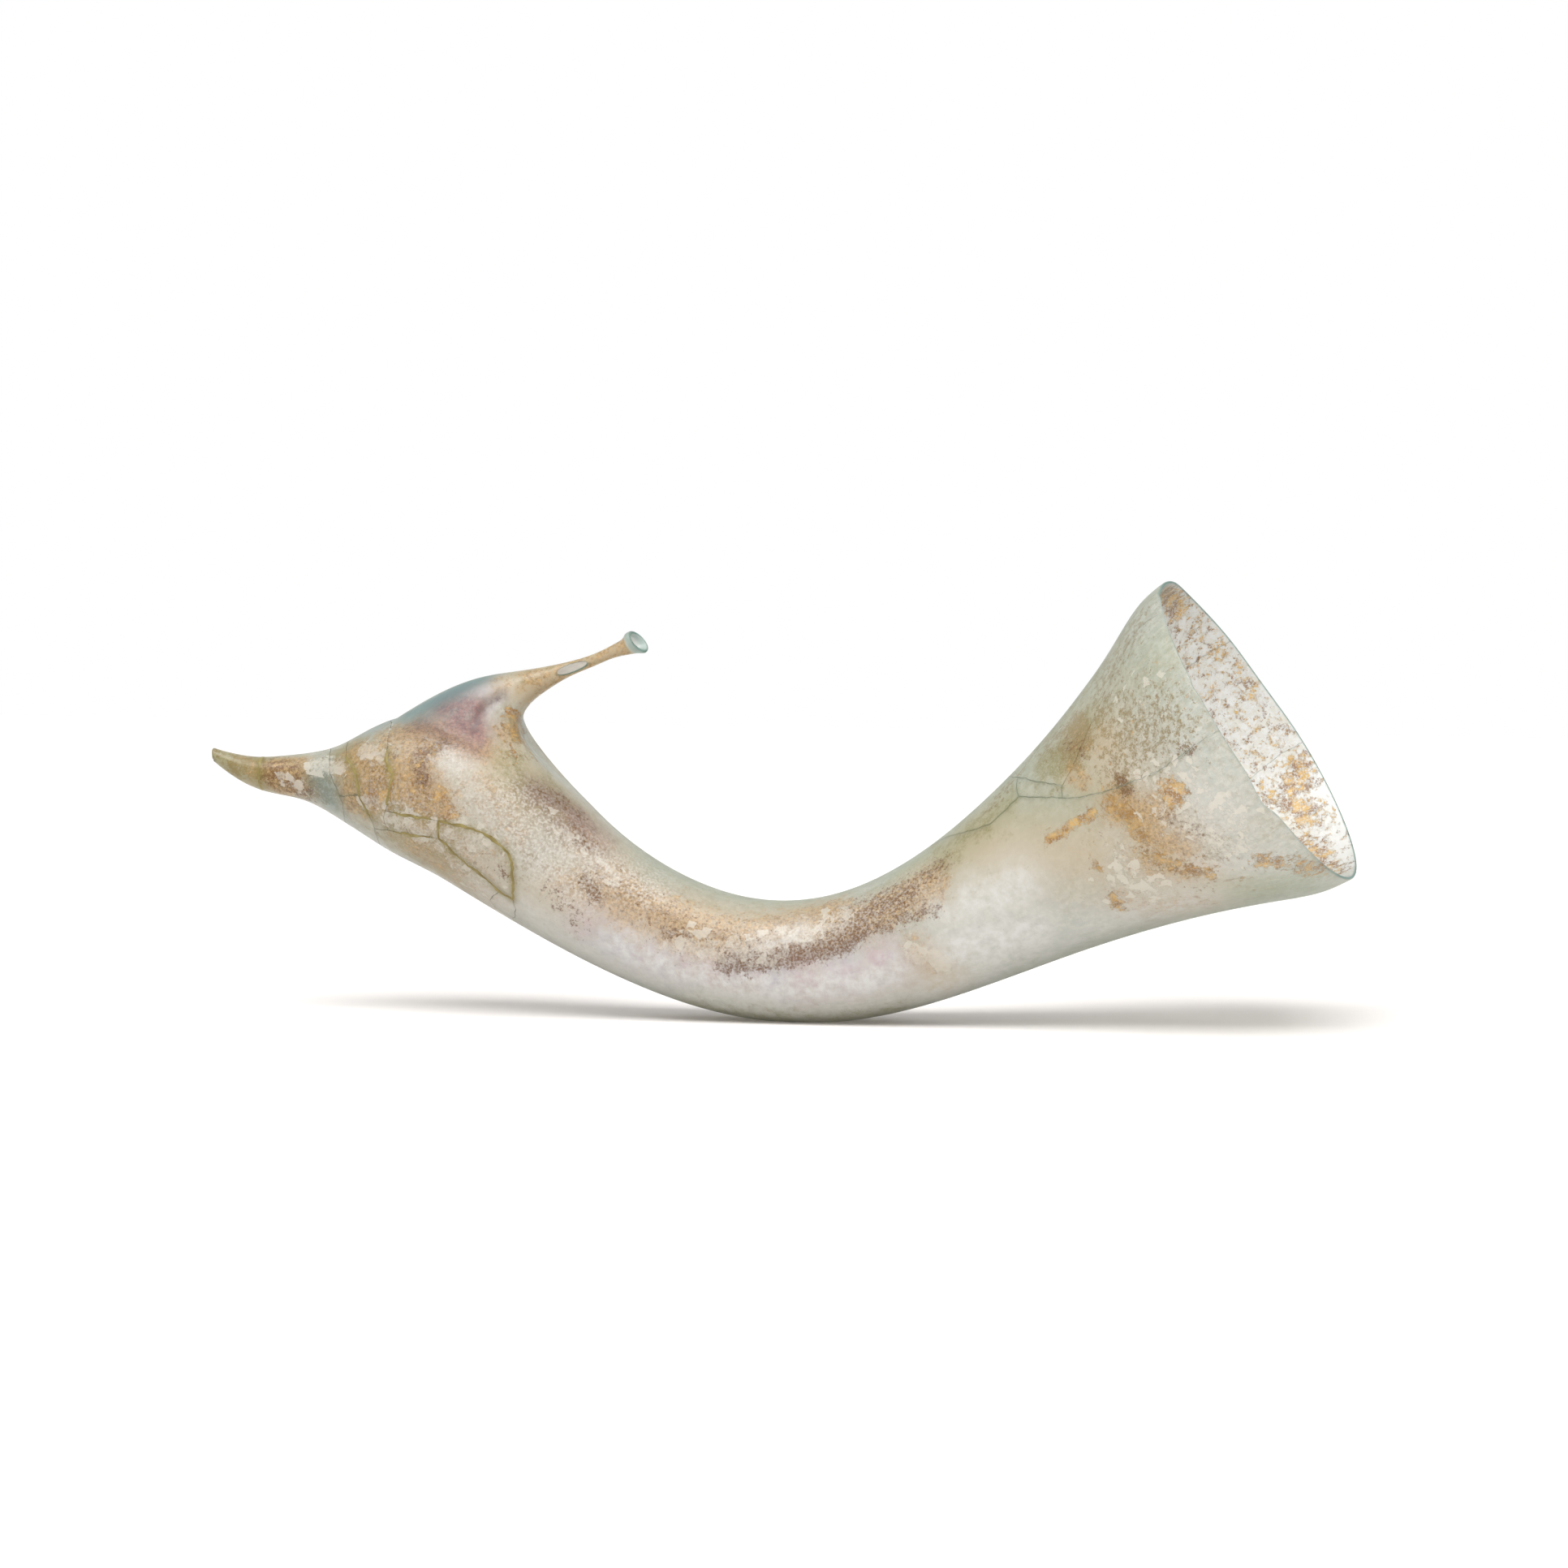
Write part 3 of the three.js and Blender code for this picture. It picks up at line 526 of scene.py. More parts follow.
# The breaks, each a path of places
BREAKS = {
    "square": [
        SQUARE_TOP_LEFT, (52.8, 34), SQUARE_LOWER_LEFT, (49.2, 51.5), SQUARE_LOWER_RIGHT, SQUARE_TOP_RIGHT,
        (47.8, 42),
    ],
    "square_to_top": [SQUARE_TOP_LEFT, (53.2, 19.5), (55, 5), (58, -15), FAR_MEETING],
    "flare_front": [
        SQUARE_LOWER_RIGHT, (39.8, 69), (33.5, 75), (29.5, 77.5), (19.5, 82.5), (10, 84), (PAST_RIM, 84.5),
    ],
    "flare_upper": [
        SQUARE_TOP_RIGHT, (38.2, 54.5), (30, 44.5), (22.2, 36), (15, 31.5), (8, 29.5), (PAST_RIM, 33),
    ],
    "throat": [
        SQUARE_LOWER_LEFT, (62, 43.5), (66.2, 38), (70.5, 29), (75.2, 16.5), (79.5, 9), (80.5, -8),
        (76, -24), FAR_MEETING,
    ],
    "far_upper": [FAR_MEETING, (45, -44), (25, -50), (PAST_RIM, -57)],
    "far_lower": [
        FAR_MEETING, (62, -55), (56, -80), (42, -100), (20, -104), (5.8, -99.5), (PAST_RIM, -100),
    ],
    "collar": [
        (235, 51.5), (233.5, 62.5), (232, 73.5), (231.2, 84), (230.2, 103), (229, 111.5), (227.8, 118),
        COLLAR_FOOT, (226.5, 150), (227, 175), (228.5, 205), COLLAR_FAR, (231.5, 265), (233, 300),
        COLLAR_TOP, (235.5, 350), (236, 375), (235.6, 395),
    ],
    "spout_root": [
        (239.2, 55), (238.5, 76), (237.2, 90), (235.8, 106), (235, 115), (235, 135), (235.5, 170),
        (237, 210), (239, 250), (240, 290), (240.5, 330), (240.2, 375),
    ],
    "collar_near": [(235.8, 106), (230.5, 98)],
    "collar_back": [(238, 230), (229.5, 225)],
    "shoulder": [
        (234.5, -35), (230, -25), (227, -5), (225.5, 20), (225, 45), (224.2, 65), (222.5, 77),
        (222.8, 93.5), BAND_CORNER, (224, 115), BAND_FOOT,
    ],
    "band": [BAND_CORNER, (218.8, 107.5), OVAL_UPPER_LEFT],
    "underside": [COLLAR_FOOT, BAND_FOOT, (213.5, 121), OVAL_LOWER_LEFT],
    "oval": [
        OVAL_UPPER_LEFT, (204.8, 99.5), (201, 95), (198.2, 92.5), (194, 92), (191.2, 93),
        (189, 97.5), (186.8, 107.5), (185.5, 116), OVAL_POINT, TRIANGLE_TOP,
        (191.5, 123.5), (199.5, 121), (202.8, 118.5), OVAL_LOWER_LEFT,
    ],
    "triangle": [
        OVAL_POINT, (182.8, 134), (182, 146), TRIANGLE_FOOT, (186.5, 155), (188.5, 145.5), (188.2, 135),
        TRIANGLE_TOP,
    ],
    "underside_back": [TRIANGLE_FOOT, (182, 170), (186, 192), (196, 213), (212, 228), COLLAR_FAR],
    "spout_tip": [(256.8, 37), (256.2, 82.5), (255.5, 153), (255.5, 220), (256.2, 290), (256.8, 340)],
}
CLOSED_BREAKS = ["square", "collar", "spout_root", "oval", "spout_tip"]

# Joins that adhesive still fills: the path and whether it runs all the way round
BEADS = {
    "oval_join_adhesive": (BREAKS["oval"], True),
    "spout_join_adhesive": (BREAKS["spout_tip"], True),
    "collar_join_adhesive": (BREAKS["collar"][:7], False),
    "shoulder_join_adhesive": (
        [(224.6, 55), (224.2, 65), (222.5, 77), (222.8, 93.5), (223.2, 102.5)], False,
    ),
    "band_join_adhesive": ([(221.5, 107.4), (218.8, 107.5), (211, 104)], False),
    "underside_join_adhesive": ([(221, 125), (213.5, 121), (209.8, 118)], False),
}

# A place in the middle of each sherd's face
SHERDS = {
    "main_body": (130, 90),
    "flare_top_sherd": (25, -10),
    "flare_front_sherd": (20, 60),
    "flare_far_sherd": (30, -75),
    "throat_top_sherd": (67, 0),
    "square_sherd": (48.5, 46),
    "oval_sherd": (196, 107),
    "triangle_sherd": (185.4, 144),
    "band_sherd": (215, 113),
    "underside_sherd": (205, 160),
    "shoulder_front_sherd": (227, 80),
    "collar_upper_sherd": (235, 80),
    "collar_lower_sherd": (231, 150),
    "spout_root": (247, 90),
    "spout_tip": (262, 90),
}


def followed(path, closed):
    """Points and outward normals on the horn, a step apart along a path of corners, and the direction
    across the path at each. Between two corners the path is straight in distance and degrees, but for a
    waver across it that fades at both."""
    corners = np.array(path, float)
    if closed:
        turns = round((corners[-1, 1] - corners[0, 1]) / TURN)
        corners = np.vstack([corners, corners[0] + [0, TURN * turns]])
    places = []
    swing = []
    for start, end in zip(corners, corners[1:]):
        length = np.linalg.norm(on_horn(*start) - on_horn(*end))
        share = np.linspace(0, 1, max(2, round(length / PATH_STEP)), endpoint=False)[:, None]
        seed = round(length * 100)
        places.append(start + (end - start) * share)
        swing.append(np.sin(np.pi * share[:, 0]) * wobble(share[:, 0] * length, seed, WAVER_PERIOD))
    if not closed:
        places.append(corners[-1:])
        swing.append(np.zeros(1))
    places = np.concatenate(places)
    distance, degrees = places.T
    points = on_horn(distance, degrees)
    normals = horn_normal(distance, degrees)
    before = np.roll(points, 1, 0) if closed else np.concatenate([points[:1], points[:-1]])
    after = np.roll(points, -1, 0) if closed else np.concatenate([points[1:], points[-1:]])
    across = unit(np.cross(after - before, normals))
    points = points + across * np.concatenate(swing)[:, None] * BREAK_WAVER
    return points, normals, across, horn.at(distance)


def turn_outwards(made):
    """Turns a closed mesh's faces over if they enclose a negative volume."""
    mesh = made.data
    corners = np.array([vertex.co for vertex in mesh.vertices])
    mesh.calc_loop_triangles()
    triangles = corners[np.array([triangle.vertices[:] for triangle in mesh.loop_triangles])]
    if np.einsum("ij,ij->i", triangles[:, 0], np.cross(triangles[:, 1], triangles[:, 2])).sum() < 0:
        mesh.flip_normals()


def tube(name, sections, closed):
    """A solid whose cross-section at each step is a ring of points, closed to a loop or by a cap at each
    end."""
    count, corners = sections.shape[:2]
    points = sections.reshape(-1, 3)
    index = np.arange(count * corners).reshape(count, corners)
    if closed:
        faces = quads_between(np.vstack([index, index[:1]])).reshape(-1, 4)
        return make_mesh(name, points, outwards(points, faces).tolist())
    faces = quads_between(index).reshape(-1, 4).tolist()
    made = make_mesh(name, points, faces + [index[0].tolist(), index[-1][::-1].tolist()])
    turn_outwards(made)
    return made


def strip(name, path, closed, width):
    """A thin cutter that stands on edge in the wall along a path, reaching past it on both sides."""
    margin = 1
    points, normals, across, rows = followed(path, closed)
    top = points + normals * margin
    bottom = points - normals * (rows[:, 3:4] + margin)
    side = across * width / 2
    return tube(name, np.stack([top + side, bottom + side, bottom - side, top - side], 1), closed)


def ellipsoid(name, centre, along, sizes):
    """An ellipsoid with its long axis in the plane of the bend: for each latitude the ring of points
    (cos latitude, sin latitude cos turn, sin latitude sin turn) / 2, times its sizes."""
    latitude = np.linspace(0, np.pi, ELLIPSOID_RINGS)[1:-1, None]
    turn = np.arange(2 * ELLIPSOID_RINGS) * np.pi / ELLIPSOID_RINGS
    ball = np.stack([
        np.cos(latitude) + 0 * turn, np.sin(latitude) * np.cos(turn), np.sin(latitude) * np.sin(turn),
    ], -1) / 2
    return tube(name, centre + (ball * sizes) @ axes_along(along), False)


def cut(made, cutters):
    """Takes the cutters out of a mesh, one after the other."""
    for cutter in cutters:
        difference = made.modifiers.new(cutter.name, "BOOLEAN")
        difference.operation = "DIFFERENCE"
        difference.solver = "MANIFOLD"
        difference.object = cutter
    graph = bpy.context.evaluated_depsgraph_get()
    finished = bpy.data.meshes.new_from_object(made.evaluated_get(graph))
    made.modifiers.clear()
    made.data = finished
    for cutter in cutters:
        bpy.data.objects.remove(cutter)


def parted(made):
    """The loose parts of a mesh as objects of their own."""
    bpy.ops.object.select_all(action="DESELECT")
    made.select_set(True)
    bpy.context.view_layer.objects.active = made
    bpy.ops.object.mode_set(mode="EDIT")
    bpy.ops.mesh.select_all(action="SELECT")
    bpy.ops.mesh.separate(type="LOOSE")
    bpy.ops.object.mode_set(mode="OBJECT")
    return list(bpy.context.selected_objects)


def corners_of(made):
    """The vertices of an object as an array."""
    flat = np.empty(len(made.data.vertices) * 3, np.float32)
    made.data.vertices.foreach_get("co", flat)
    return flat.reshape(-1, 3).astype(float)


def broken_vessel():
    """The wall cut along every break, as a mesh object for each sherd, and the unbroken wall's points and
    their places. Each part is the sherd whose middle lies nearest to it."""
    points, faces, places = vessel_wall()
    whole = make_mesh("vessel_wall", points, faces.tolist())
    cutters = [strip(name, path, name in CLOSED_BREAKS, BREAK_GAP) for name, path in BREAKS.items()]
    cutters += [strip(name, path, closed, JOIN_WIDTH) for name, (path, closed) in BEADS.items()]
    hole = ellipsoid("hole", on_tail(HOLE_AT, 90), tail.direction(HOLE_AT, TAIL_REACH), HOLE_SIZE)
    chip = ellipsoid("chip", on_horn(horn.length, CHIP_AT), (1, 0), [CHIP_SIZE] * 3)
    cut(whole, cutters + [hole, chip])
    found = {}
    for part in parted(whole):
        corners = corners_of(part)
        if len(corners) < FEWEST_POINTS:
            bpy.data.objects.remove(part)
            continue
        gaps = {}
        for name, place in SHERDS.items():
            gaps[name] = np.linalg.norm(corners - on_horn(*place), axis=1).min()
        name = min(gaps, key=gaps.get)
        if name in found:
            raise ValueError("two pieces near " + name)
        part.name = name
        part.data.name = name
        found[name] = part
    return found, points, places


def horn_axis(path):
    """The direction of the centre line at the middle of a path."""
    middle = np.mean([distance for distance, _ in path])
    along = horn.direction(middle, HORN_REACH)
    return np.array([[along[0], 0, along[1]]])


def bead(name, path, closed):
    """Dried adhesive along a join: a stem fills the join and an uneven cap is smeared over its edges. The
    cap's halves widen and narrow along the path, and it follows the horn's roundness: at an offset u to the
    side it lies lower by u squared over twice the horn's radius."""
    points, normals, across, rows = followed(path, closed)
    along = np.arange(len(points)) * PATH_STEP
    seed = len(points)
    stem = JOIN_WIDTH / 2 - BEAD_SLACK
    fade = 1 if closed else np.minimum(1, np.minimum(along, along[::-1]) / CAP_FADE)
    around = np.abs((across * unit(np.cross(normals, horn_axis(path)))).sum(-1))

    def cap_side(seed, period):
        """How far the cap reaches on one side of the join."""
        return stem + CAP_LEAST + CAP_SPREAD * np.clip(CAP_BIAS + wobble(along, seed, period), 0, 1) * fade

    def corner(offset, height):
        """Points beside the path, at a height over the horn's surface."""
        drop = (offset * around) ** 2 / (2 * np.maximum(rows[:, 2], LEAST_BEND_RADIUS))
        return points + across * offset[:, None] + normals * (height - drop)[:, None]

    near_side = cap_side(seed, CAP_PERIODS[0])
    far_side = cap_side(seed + 1, CAP_PERIODS[1])
    proud = CAP_HEIGHT + CAP_SWELL * wobble(along, seed + 2, CAP_PERIODS[2])
    shoulder, shoulder_height = CAP_SHOULDER
    full = np.ones(len(points))
    if not closed:
        points[0] += unit(points[1] - points[0]) * END_SLACK
        points[-1] += unit(points[-2] - points[-1]) * END_SLACK
    sections = np.stack([
        corner(stem * full, -rows[:, 3]),
        corner(stem * full, BEAD_SLACK * full),
        corner(near_side, BEAD_SLACK * full),
        corner(near_side * shoulder, proud * shoulder_height),
        corner(0 * full, proud),
        corner(-far_side * shoulder, proud * shoulder_height),
        corner(-far_side, BEAD_SLACK * full),
        corner(-stem * full, BEAD_SLACK * full),
        corner(-stem * full, -rows[:, 3]),
    ], 1)
    return tube(name, sections, closed)


# The weathering, and among it painted highlights and shade: for each layer its patches, as the reach in mm,
# the strength and a path of places
OUTER_PAINT = {
    "beige": [
        (11, 0.8, [(68, 50), (61, 68), (52, 84), (45, 95)]),
        (6, 0.9, [(96, 112), (90, 124), (88, 140)]),
        (10, 0.7, [(213, 90), (200, 130), (190, 140)]),
        (10, 0.7, [(177, 95), (160, 85), (145, 75), (120, 60)]),
        (14, 0.6, [(30, 60), (28, 90), (30, 120), (35, 140)]),
        (6, 0.6, [(84, 45), (76, 48)]),
        (9, 0.85, [(204, 41), (197, 40), (186, 38), (176, 40)]),
        (4, 0.8, [(-70.9, -3.5, 76.8), (-65.2, -3.8, 75.4), (-62.5, -3, 77.6), (-59.8, -2.5, 78.5)]),
        (5, 0.7, [(182, 41), (174, 48), (166, 54)]),
    ],
    "ochre": [
        (7, 0.8, [(168, 66), (160, 74), (150, 66), (140, 68), (131, 66), (123, 55), (110, 42)]),
        (4, 0.85, [(150, 84), (142, 78), (134, 72)]),
        (5, 0.6, [(177, 88), (172, 80)]),
        (6, 0.8, [(112, 58), (100, 56), (90, 56), (82, 58)]),
        (5, 0.8, [(222, 34), (215, 38), (208, 41)]),
        (6, 0.45, [(206, 64), (200, 70), (192, 76)]),
        (4, 0.6, [(91, 96), (88, 112)]),
        (7, 0.98, [(232, 60), (224, 75), (217, 80), (212, 95)]),
        (6, 0.8, [(224, 35), (219, 48), (217, 62), (216, 76)]),
        (8, 0.32, [(219, 100), (205, 115), (195, 112), (188, 115)]),
        (8, 0.5, [(216, 130), (204, 140), (194, 148)]),
        (5, 0.35, [(34, 36), (33, 48), (28, 56)]),
        (3, 0.6, [(38.5, 56), (37, 64)]),
        (5.5, 0.85, [(32, 84), (29, 92), (25, 95)]),
        (5, 0.78, [(30, 98), (28, 108), (24, 112)]),
        (5, 0.58, [(34, 112), (30, 122), (25, 128)]),
        (5, 0.5, [(45, 127), (40, 140), (30, 150)]),
        (5, 0.72, [(254, 80), (248, 110), (250, 140)]),
        (6, 0.45, [(182, 40), (176, 44)]),
        (3.6, 0.62, [(-67.3, -7.3, 65.5), (-65.5, -4.4, 67.5)]),
        (5, 1, [(232, 102), (226, 98)]),
        (4, 0.8, [(252, 56), (247, 64)]),
        (3, 0.5, [(-70.9, -3.5, 76.8), (-65.2, -3.8, 75.4), (-60, -2.7, 78.2)]),
    ],
    "rust": [
        (3.4, 0.66, [(33.5, 82), (31, 90), (31, 99)]),
        (2.6, 0.86, [(19.5, 89), (16.5, 93), (20, 95)]),
        (4.5, 0.5, [(32, 110), (29, 120), (24, 130)]),
        (1.4, 0.9, [(51, 78), (46, 79), (42, 79), (38.5, 80.5)]),
        (2, 0.7, [(45.5, 124), (46, 132)]),
        (1.4, 0.7, [(45, 102), (44, 105)]),
        (4, 0.6, [(10, 133), (4, 141), (1, 150)]),
        (16, 0.24, [(10, 60), (25, 60), (30, 100), (22, 130)]),
        (4, 0.52, [(207, 350), (205, 4), (203, 25)]),
        (2.4, 0.66, [(-67.2, -5, 70.3), (-65.7, -2, 67.9), (-65, 0, 66)]),
        (3.6, 0.5, [(-67.9, -7.1, 66.4), (-64.5, -5, 64.5), (-62, -5, 62)]),
        (3.4, 0.62, [(227, 95), (222, 91)]),
        (3, 0.62, [(211, 84), (207, 94)]),
        (6, 0.42, [(216, 55), (218, 75), (214, 92)]),
    ],
    "moss": [
        (5, 0.85, [(33, 33), (32, 44), (35.5, 50)]),
        (8, 0.5, [(42, 18), (38, 34), (36, 48)]),
        (9, 0.52, [(8, 22), (21, 32), (26, 46)]),
        (14, 0.5, [(24, 50), (18, 62), (12, 70), (24, 68)]),
        (10, 0.48, [(22, 18), (10, 28)]),
        (5, 0.62, [(256, 60), (262, 100)]),
        (5, 0.6, [(252, 80), (246, 95)]),
        (4, 0.8, [(243, 85), (240, 105)]),
        (5, 0.5, [(236, 80), (232, 110)]),
        (3, 0.85, [(28.5, 75), (28.5, 80)]),
        (8, 0.46, [(22, 104), (18, 116), (22, 122)]),
        (5, 0.45, [(26, 20), (40, 15)]),
        (5, 0.45, [(48, 18), (60, 28)]),
        (7, 0.46, [(195, 50), (180, 52)]),
        (8, 0.4, [(204, 66), (196, 78), (186, 90)]),
        (12, 0.34, [(232, 90), (210, 120), (195, 130)]),
    ],
    "umber": [
        (3, 0.95, [(135, 93), (129, 86), (122, 80), (115, 77), (107, 75), (101, 66)]),
        (4.5, 0.66, [(110, 66), (103, 56), (95, 54), (88, 52)]),
        (4, 0.5, [(103, 44), (94, 43), (84, 45), (77, 46)]),
        (2.6, 0.6, [(98.5, 70), (90, 71), (83, 76)]),
        (3.6, 0.7, [(132, 89), (125, 82)]),
        (3, 0.5, [(182, 42), (176, 46)]),
        (3, 0.5, [(251, 58), (247, 66)]),
        (4, 0.42, [(231, 103), (226, 95)]),
        (2.8, 0.66, [(213.5, 46), (217, 58), (216.5, 70), (215, 80)]),
        (5, 0.28, [(222, 32), (217, 40), (213, 40)]),
        (3.4, 0.5, [(194, 38), (189.5, 30), (184, 26)]),
        (2.2, 0.85, [(28.5, 75), (28.5, 81)]),
        (4, 0.42, [(36, 40), (34, 50)]),
        (2.4, 0.5, [(21, 106), (18.5, 110)]),
        (2, 0.7, [(9.5, 83), (8.5, 84)]),
        (2, 0.6, [(24, 99), (23, 101)]),
        (2, 0.6, [(190, 107), (188, 110)]),
        (3, 0.65, [(173, 73), (169, 81)]),
        (3, 0.55, [(151, 78), (145, 76)]),
        (8, 0.38, [(170, 64), (150, 70), (130, 70)]),
        (5, 0.4, [(178, 96), (170, 110)]),
        (6, 0.25, [(205, 120), (192, 108)]),
        (5, 0.62, [(253, 80), (249, 100), (245, 120)]),
        (4, 0.42, [(224, 60), (228, 95)]),
    ],
    # Grey-purple stains, and painted shade in the groove beside the tail's root
    "dusk_and_crease_shade": [
        (4, 0.6, [(196, 42), (190, 32), (184, 27), (176, 26)]),
        (3.4, 0.5, [(188, 52), (181, 47), (175, 41)]),
        (3, 0.25, [(213.5, 46), (217, 58), (216.5, 70), (215, 80)]),
        # painted shade in the groove
        (1.5, 1, GROOVE),
        (3, 0.35, [(134, 93), (125, 86), (118, 82)]),
    ],
    "rose": [
        (5, 1, [(-82, -6.2, 71.3), (-77.9, -5.9, 72.4), (-78.9, -8.7, 68.2), (-75, -9.4, 66.5)]),
        (3, 1, [(-77.9, -5.9, 72.4), (-75.1, -6, 72.1), (-73.5, -10, 64.7)]),
        (4, 0.7, [(219, 28), (214, 34), (209, 40)]),
        (3.4, 0.5, [(194, 42), (188, 34), (182, 32)]),
    ],
    # Pale patches, mostly painted light: highlights on the head and belly, a glow at the throat, a painted
    # reflection along the belly's lower band and lightened undersides; some pearly weathering
    "pearl_and_highlight": [
        (4.5, 0.35, [(212, 58), (208, 66), (204, 76)]),
        (8, 0.6, [(190, 138), (172, 134), (155, 132), (138, 136), (118, 140), (100, 142)]),
        (9, 0.7, [(92, 148), (80, 150), (62, 148), (46, 146), (32, 148)]),
        (6, 0.5, [(22, 126), (12, 131), (7, 136)]),
        (5, 0.3, [(204, 76), (196, 78), (188, 72), (180, 66), (172, 62)]),
        (6, 0.4, [(185, 88), (172, 100), (160, 108)]),
        (7, 0.9, [(73.5, 86), (68, 93), (63, 92)]),
        (5, 0.7, [(82, 82), (78, 94)]),
        (8, 1, [(82, 112), (76, 118), (66, 122)]),
        (8, 0.8, [(80, 132), (66, 134)]),
        (6, 0.95, [(160, 112), (145, 113), (130, 110), (118, 110), (106, 112), (98, 110)]),
        (4, 0.75, [(118, 58), (122, 66), (128, 76)]),
        # painted highlight along the fold's ridge
        (1, 0.45, RIDGE),
        (1.6, 0.5, [(-72.7, -3.8, 75.3), (-77.3, -4.5, 73.8)]),
        (7, 0.5, [(14, 98), (10, 108), (16, 110)]),
    ],
    # Grain: pitting in relief, coloured with painted shade in its pits and painted glints
    "grain": [
        (7, 0.8, [(196, 60), (184, 58), (172, 54), (160, 50)]),
        (6, 0.8, [(200, 70), (186, 76), (172, 80)]),
        (7, 0.5, [(134, 75), (115, 65), (100, 55), (85, 55)]),
        (5, 0.5, [(212, 58), (207, 68), (204, 78)]),
        (8, 0.5, [(225, 90), (200, 110)]),
    ],
    "lilac": [
        (4.5, 0.85, [(140, 102), (126, 99), (117, 97), (106, 96), (98, 94)]),
        (3.5, 0.5, [(-82.5, -5.2, 72.6), (-77.5, -4.6, 74), (-73, -4, 75.2)]),
        (6, 0.75, [(166, 108), (155, 112), (145, 108)]),
        (5, 0.6, [(120, 116), (106, 112), (96, 108)]),
        (4, 0.45, [(184, 40), (176, 36)]),
        (3, 0.5, [(247, 80), (244, 110)]),
    ],
    "olive": [
        # the belly's darker olive underside edge: olive weathering, and painted shade from below
        (6, 1, [(140, 168), (128, 164), (115, 164), (103, 164)]),
        (7, 0.95, [(256, 60), (262, 90), (262, 130)]),
        (5, 0.6, [(250, 70), (244, 100)]),
        (6, 0.8, [(266, 0), (264, 90), (264, 180), (264, 270)]),
        (7, 0.75, [(42, 38), (37, 46), (32, 40)]),
        (7, 0.5, [(75, 40), (66, 38), (58, 38)]),
        (8, 0.6, [(234, 80), (228, 100), (222, 118), (210, 132), (198, 140)]),
        (5, 0.85, [(236, 40), (230, 62), (226, 74)]),
        (1.6, 0.62, [(79, 14), (77, 26)]),
        (10, 0.4, [(40, 8), (20, 12)]),
        (7, 0.6, [(204, 40), (197, 40), (190, 34)]),
        (4, 0.6, [(-67.3, -7.3, 65.5), (-65.5, -4.4, 67.5)]),
        (5, 0.7, [(231, 104), (222, 108)]),
        (4, 0.8, [(252, 60), (247, 70)]),
    ],
    "white": [
        (2.6, 0.85, [(243, 58), (239, 64), (236, 66)]),
        (3, 0.8, [(230, 50), (226, 60)]),
        (2.6, 0.8, [(223, 113), (217, 114), (212, 120)]),
        (2.6, 0.7, [(229.5, 104), (225, 100)]),
        (2.4, 0.5, [(250, 90), (247, 100), (246, 120)]),
        (2, 0.7, [(207, 116), (205, 120)]),
        (8, 0.5, [(22, 84), (15, 96), (9, 110)]),
        (7, 0.56, [(22, 100), (18, 110), (14, 122)]),
        (6, 0.5, [(38, 108), (42, 118), (36, 130)]),
        (3.2, 0.85, [(91, 102), (88, 110), (87, 120)]),
        (4, 0.5, [(206, 96), (196, 96)]),
        (6, 0.5, [(218, 112), (204, 108)]),
        (5, 0.62, [(146, 84), (136, 82), (126, 74)]),
        (4, 0.62, [(122, 60), (114, 58), (106, 50)]),
        (5, 0.42, [(184, 62), (176, 56), (168, 52)]),
        (9, 0.25, [(20, 50), (10, 60)]),
        (4, 0.5, [(200, 130), (192, 128)]),
    ],
    "teal": [
        (4.2, 1, [(-91.5, -3.4, 69.4), (-86, -3.1, 72.6), (-80.4, -2.4, 75.4), (-75.1, -0.9, 77.8)]),
        (5, 0.85, [(224, 352), (218, 0), (214, 350)]),
        (4, 0.7, [(224, 14), (219, 12), (214, 8)]),
        (4, 0.6, [(241, 78), (239, 100), (238, 120)]),
    ],
    "green": [
        (12, 0.9, [(85, 10), (70, 0), (55, 5), (35, 5), (10, 5)]),
        (7, 0.6, [(100, 0), (130, 0), (160, 0)]),
        (8, 0.6, [(75, 175), (50, 170), (25, 168), (8, 165)]),
        (9, 0.55, [(20, 150), (10, 150)]),
        (7, 0.6, [(52, 60), (44, 68), (37, 72)]),
        (8, 0.8, [(76, 40), (66, 38), (57, 38)]),
        (12, 0.5, [(30, 36), (16, 42), (8, 50)]),
    ],
}

# The same inside the mouth
INNER_PAINT = {
    "rust": [
        (5, 0.72, [(3, 350), (3, 342), (4, 331)]),
        (6, 0.46, [(5, 320), (4, 303), (4, 285)]),
        (6, 0.42, [(4, 275), (4, 262)]),
        (6, 0.66, [(4, 252), (8, 244), (7, 234)]),
        (6, 0.5, [(13, 250), (10, 225)]),
        (6, 0.6, [(10, 224), (7, 210), (5, 198)]),
        (22, 0.36, [(12, 345), (12, 320), (12, 290), (12, 250), (10, 215)]),
    ],
    "white": [
        (8, 0.7, [(14, 245), (10, 232), (14, 225)]),
        (14, 0.5, [(8, 330), (8, 290), (8, 260)]),
    ],
}

# How strongly four of the layers cover the tail's stem all over, outside and inside
TAIL_PAINT = {"beige": (0.9, 0.18), "ochre": (0.5, 0.1), "olive": (0.3, 0.06), "pearl_and_highlight": (0, 0.8)}

# How much of the outer surface's paint shows on the inner one, and the other way round
OUTER_SEEN_INSIDE = 0.3
INNER_SEEN_OUTSIDE = 0.15

# The breaks with green edges, how far these reach, and the reach and strength of the stain at filled joins
CRACKED = ["square", "flare_front", "throat", "collar_near"]
CRACK_REACH = 0.45
SEAM_REACH = 1.1
SEAM_STAIN = 0.75

# The far side's weathering: the near side's, shifted along, a little weaker and in the flare much weaker
BACK_SHIFT = 5
BACK_SHARE = 0.9
FLARE_BACK_SHARE = 0.35
FLARE_REACH = 48

# Up the tail, 1 at its foot and 2 at its end: where paint sets in, clear glass begins and green begins
STEM_FROM = (0.6, 1)
CLEAR_FROM = (1.9, 1.97)
TAIL_GREEN_FROM = (1.93, 1.98)

